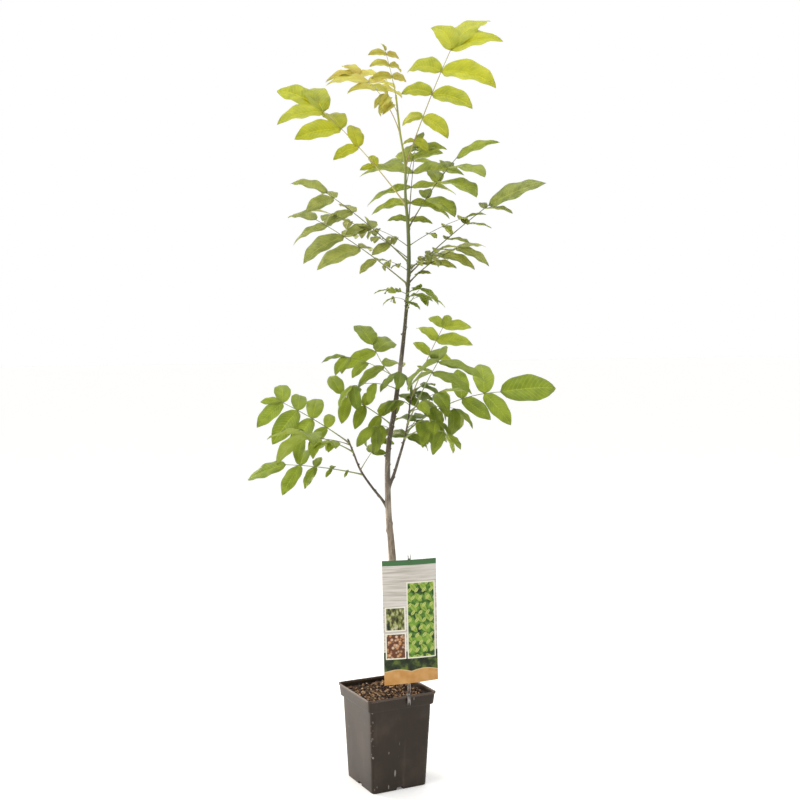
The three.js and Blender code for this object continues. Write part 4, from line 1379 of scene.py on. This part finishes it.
shade = patchy(
    5, [(0.0, (0.007, 0.011, 0.005)), (0.5, (0.022, 0.036, 0.011)), (1.0, (0.12, 0.16, 0.022))], 5
)
colour = tinted(up < foot_band, colour, shade)
colour = tinted(up > head_band, colour, (0.053, 0.142, 0.053, 1))

pebbles = {"Vector": printed * cloud_scale, "Scale": 15}
spread = Measure.node(tree, "ShaderNodeTexVoronoi", None, pebbles)
pebble_tone, _, _ = split(Measure.node(tree, "ShaderNodeTexVoronoi", None, pebbles, result="Color"))
gravel = tinted(ramped(pebble_tone, 0.2, 0.8), (0.444, 0.214, 0.08, 1), (0.586, 0.444, 0.319, 1))
gravel = tinted(ramped(spread, 0.25, 0.6), gravel, (0.115, 0.04, 0.018, 1))
colour = picture(colour, (25, 80), (42, 54), 0, gravel)

moss = patchy(
    9,
    [
        (0.0, (0.013, 0.013, 0.008)),
        (0.4, (0.089, 0.097, 0.026)),
        (0.7, (0.266, 0.284, 0.08)),
        (1.0, (0.533, 0.533, 0.4)),
    ],
    4,
    (1.6, 0.7, 1),
)
colour = picture(colour, (25, 136), (42, 50), 0, moss)

leafy = patchy(
    6, [(0.0, (0.01, 0.03, 0.006)), (0.45, (0.05, 0.13, 0.018)), (1.0, (0.178, 0.33, 0.036))], 3
)
leafy = tinted(leaf_shapes(21, 24, 5.2, 38), leafy, (0.25, 0.36, 0.05, 1))
leafy = tinted(leaf_shapes(15.5, 14, 3.0, -40), leafy, (0.42, 0.47, 0.13, 1))
colour = picture(colour, (79, 132), (60, 158), 0, leafy)

brim = 27 + 5 * abs((across / 18).joined("SINE"))  # a scalloped edge
clay = patchy(4, [(0.0, (0.426, 0.204, 0.049)), (1.0, (0.533, 0.302, 0.107))], 2)
colour = tinted(up < brim, colour, (0.586, 0.444, 0.23, 1))
colour = tinted(up < brim - 1.4, colour, clay)
coating = {"Roughness": 0.42, "Specular_IOR_Level": 0.25}
surface(coat(tree, Base_Color=colour, Normal=bumped(noisy(place, 300, 2), 0.06, 0.0004), **coating))

card = placed("care_card", card_mesh(), card_print, sharp=50)
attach(card, "root")
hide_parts("label_card")

strand_radius, strand_gap, strand_foot, strand_head = 1.0, 4.4, 180.0, 495.0
rim_top, card_head = 200.3, 483.3


def strand_rings(side):
    """One strand: a thin rod, wavy from the mould, that leans out a little at its tip."""
    rings, steps, sides = [], 60, 12
    for i in range(steps + 1):
        share = i / steps
        height = strand_foot + (strand_head - strand_foot) * share
        tip = min(1.0, (strand_head - height) / 1.6, (height - strand_foot) / 0.9)
        radius = strand_radius * math.sqrt(max(0.02, 1 - (1 - tip) ** 2))
        above = max(0.0, height - card_head - 2) / 10
        x = side * (strand_gap / 2 + 0.9 * above * above) + 0.08 * math.sin(height * 0.11 + side)
        ring = []
        for j in range(sides):
            a = 2 * math.pi * j / sides
            ring.append(Vector((x + radius * math.cos(a), strand_radius + radius * math.sin(a), height)))
        rings.append([sign_place @ point for point in ring])
    return rings


def stick_plates():
    """The plate and hook at the rim and the clasp at the card's head, with softened edges."""
    top, head = rim_top + 2, card_head
    fork = [(-1.3, rim_top - 14), (1.3, rim_top - 14), (1.5, rim_top - 7), (3.5, rim_top - 4)]
    fork += [(3.5, top), (-3.5, top), (-3.5, rim_top - 4), (-1.5, rim_top - 7)]
    tongue = [(-0.9, 479), (0.9, 479), (1.2, 480.2), (1.2, head + 1.9), (-1.2, head + 1.9), (-1.2, 480.2)]
    plates = [slab(sign_place, fork, 0.0, 2.0), slab(sign_place, tongue, -2.9, -1.5)]
    for wide, low, high, near, far in (
        (3.5, rim_top, top, 1.0, 11.0),
        (3.5, rim_top - 7, rim_top + 1, 9.0, 11.0),
        (2.2, head, head + 2, 0.2, 1.8),
        (1.2, head + 0.1, head + 1.9, -2.9, 1.0),
    ):
        box = [(-wide, low), (wide, low), (wide, high), (-wide, high)]
        plates.append(slab(sign_place, box, near, far))
    blank = placed("stick_plates", slabs_mesh("stick_plates", plates))
    soft = blank.modifiers.new("edges", "BEVEL")
    soft.width, soft.segments = 0.35 * MM, 2
    return plain_mesh(blank)


stick_plastic, tree, place = new_finish("grey stick plastic")
haze = noisy(place, 90, 3)
colour = tinted(ramped(haze, 0.35, 0.65), (0.06, 0.053, 0.048, 1), (0.24, 0.215, 0.195, 1))
skin = bumped(noisy(place, 600, 2), 0.1, 0.0003)
surface(coat(tree, Base_Color=colour, Roughness=0.3, Normal=skin))
strands = [lofted("stick_strand", strand_rings(side)) for side in (-1, 1)]
names = ("stick_strand_left", "stick_strand_right", "stick_hook")
for name, mesh in zip(names, [*strands, stick_plates()]):
    part = placed(name, mesh, stick_plastic, sharp=40)
    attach(part, "root")
    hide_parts("label_stick")


# ------------------------------------------------------------------ the studio
# A white floor that runs on out of sight, soft light from all round with more from the left and from
# behind, and the camera a little over two metres off at the height of the upper stem.

floor_white, tree, place = new_finish("studio floor")
mottle = tinted(noisy(place, 2, 2), (0.86, 0.86, 0.86, 1), (0.9, 0.9, 0.89, 1))
glow = {"Emission_Color": (1.0, 0.97, 0.92, 1), "Emission_Strength": 0.16}
surface(coat(tree, Base_Color=mottle, Roughness=0.8, Specular_IOR_Level=0.2, **glow))
floor_corners = [(-30, -30, 0), (30, -30, 0), (30, 30, 0), (-30, 30, 0)]
floor = placed("studio_floor", new_mesh("studio_floor", floor_corners, [(0, 1, 2, 3)]), floor_white)
floor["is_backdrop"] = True

world = bpy.data.worlds.new("studio air")
world.use_nodes = True
tree = world.node_tree
tree.nodes.clear()
x, y, z = split(Measure.node(tree, "ShaderNodeTexCoord", result="Generated"))
light = 0.62 + 0.5 * ramped(x * 0.458 + y * 0.889, -0.75, 0.3)
seen = Measure.node(tree, "ShaderNodeLightPath", result="Is Camera Ray")
inputs = {"Color": (1, 1, 1, 1), "Strength": light + seen * (1 - light)}
air = Measure.node(tree, "ShaderNodeBackground", None, inputs)
Measure.node(tree, "ShaderNodeOutputWorld", None, {"Surface": air}, result=None)
bpy.context.scene.world = world
bpy.context.scene.view_settings.view_transform = "Standard"

# name, place, what it points at, size, power and colour
lamps = [
    ("window left", (-2.6, -0.6, 2.2), (0, 0, 0.9), 1.8, 40, (1, 1, 1)),
    ("bank behind left", (-1.25, 2.2, 0.62), (0, 0, 0.2), 1.2, 75, (1, 0.86, 0.74)),
    ("bank above", (0.3, -0.4, 3.6), (0, 0, 1.0), 2.2, 30, (1, 1, 1)),
]
for name, spot, target, size, power, colour in lamps:
    lamp = bpy.data.lights.new(name, "AREA")
    lamp.shape, lamp.size, lamp.energy, lamp.color = "SQUARE", size, power, colour
    holder = bpy.data.objects.new(name, lamp)
    holder.location = spot
    holder.rotation_euler = (Vector(target) - Vector(spot)).to_track_quat("-Z", "Y").to_euler()
    holder.visible_camera = False
    bpy.context.scene.collection.objects.link(holder)

lens = bpy.data.cameras.new("camera")
lens.sensor_width, lens.lens = 36.0, 54.0
lens.clip_start, lens.clip_end = 0.05, 100.0
camera = bpy.data.objects.new("camera", lens)
camera.location = (-1.116, -2.224, 0.950)
camera.rotation_euler = (math.radians(90 - 3.34), 0, -math.radians(27.3))
bpy.context.scene.collection.objects.link(camera)
bpy.context.scene.camera = camera

low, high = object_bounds()
sizes = {"cad": [list(cad_low), list(cad_high)], "visual": [list(low), list(high)]}
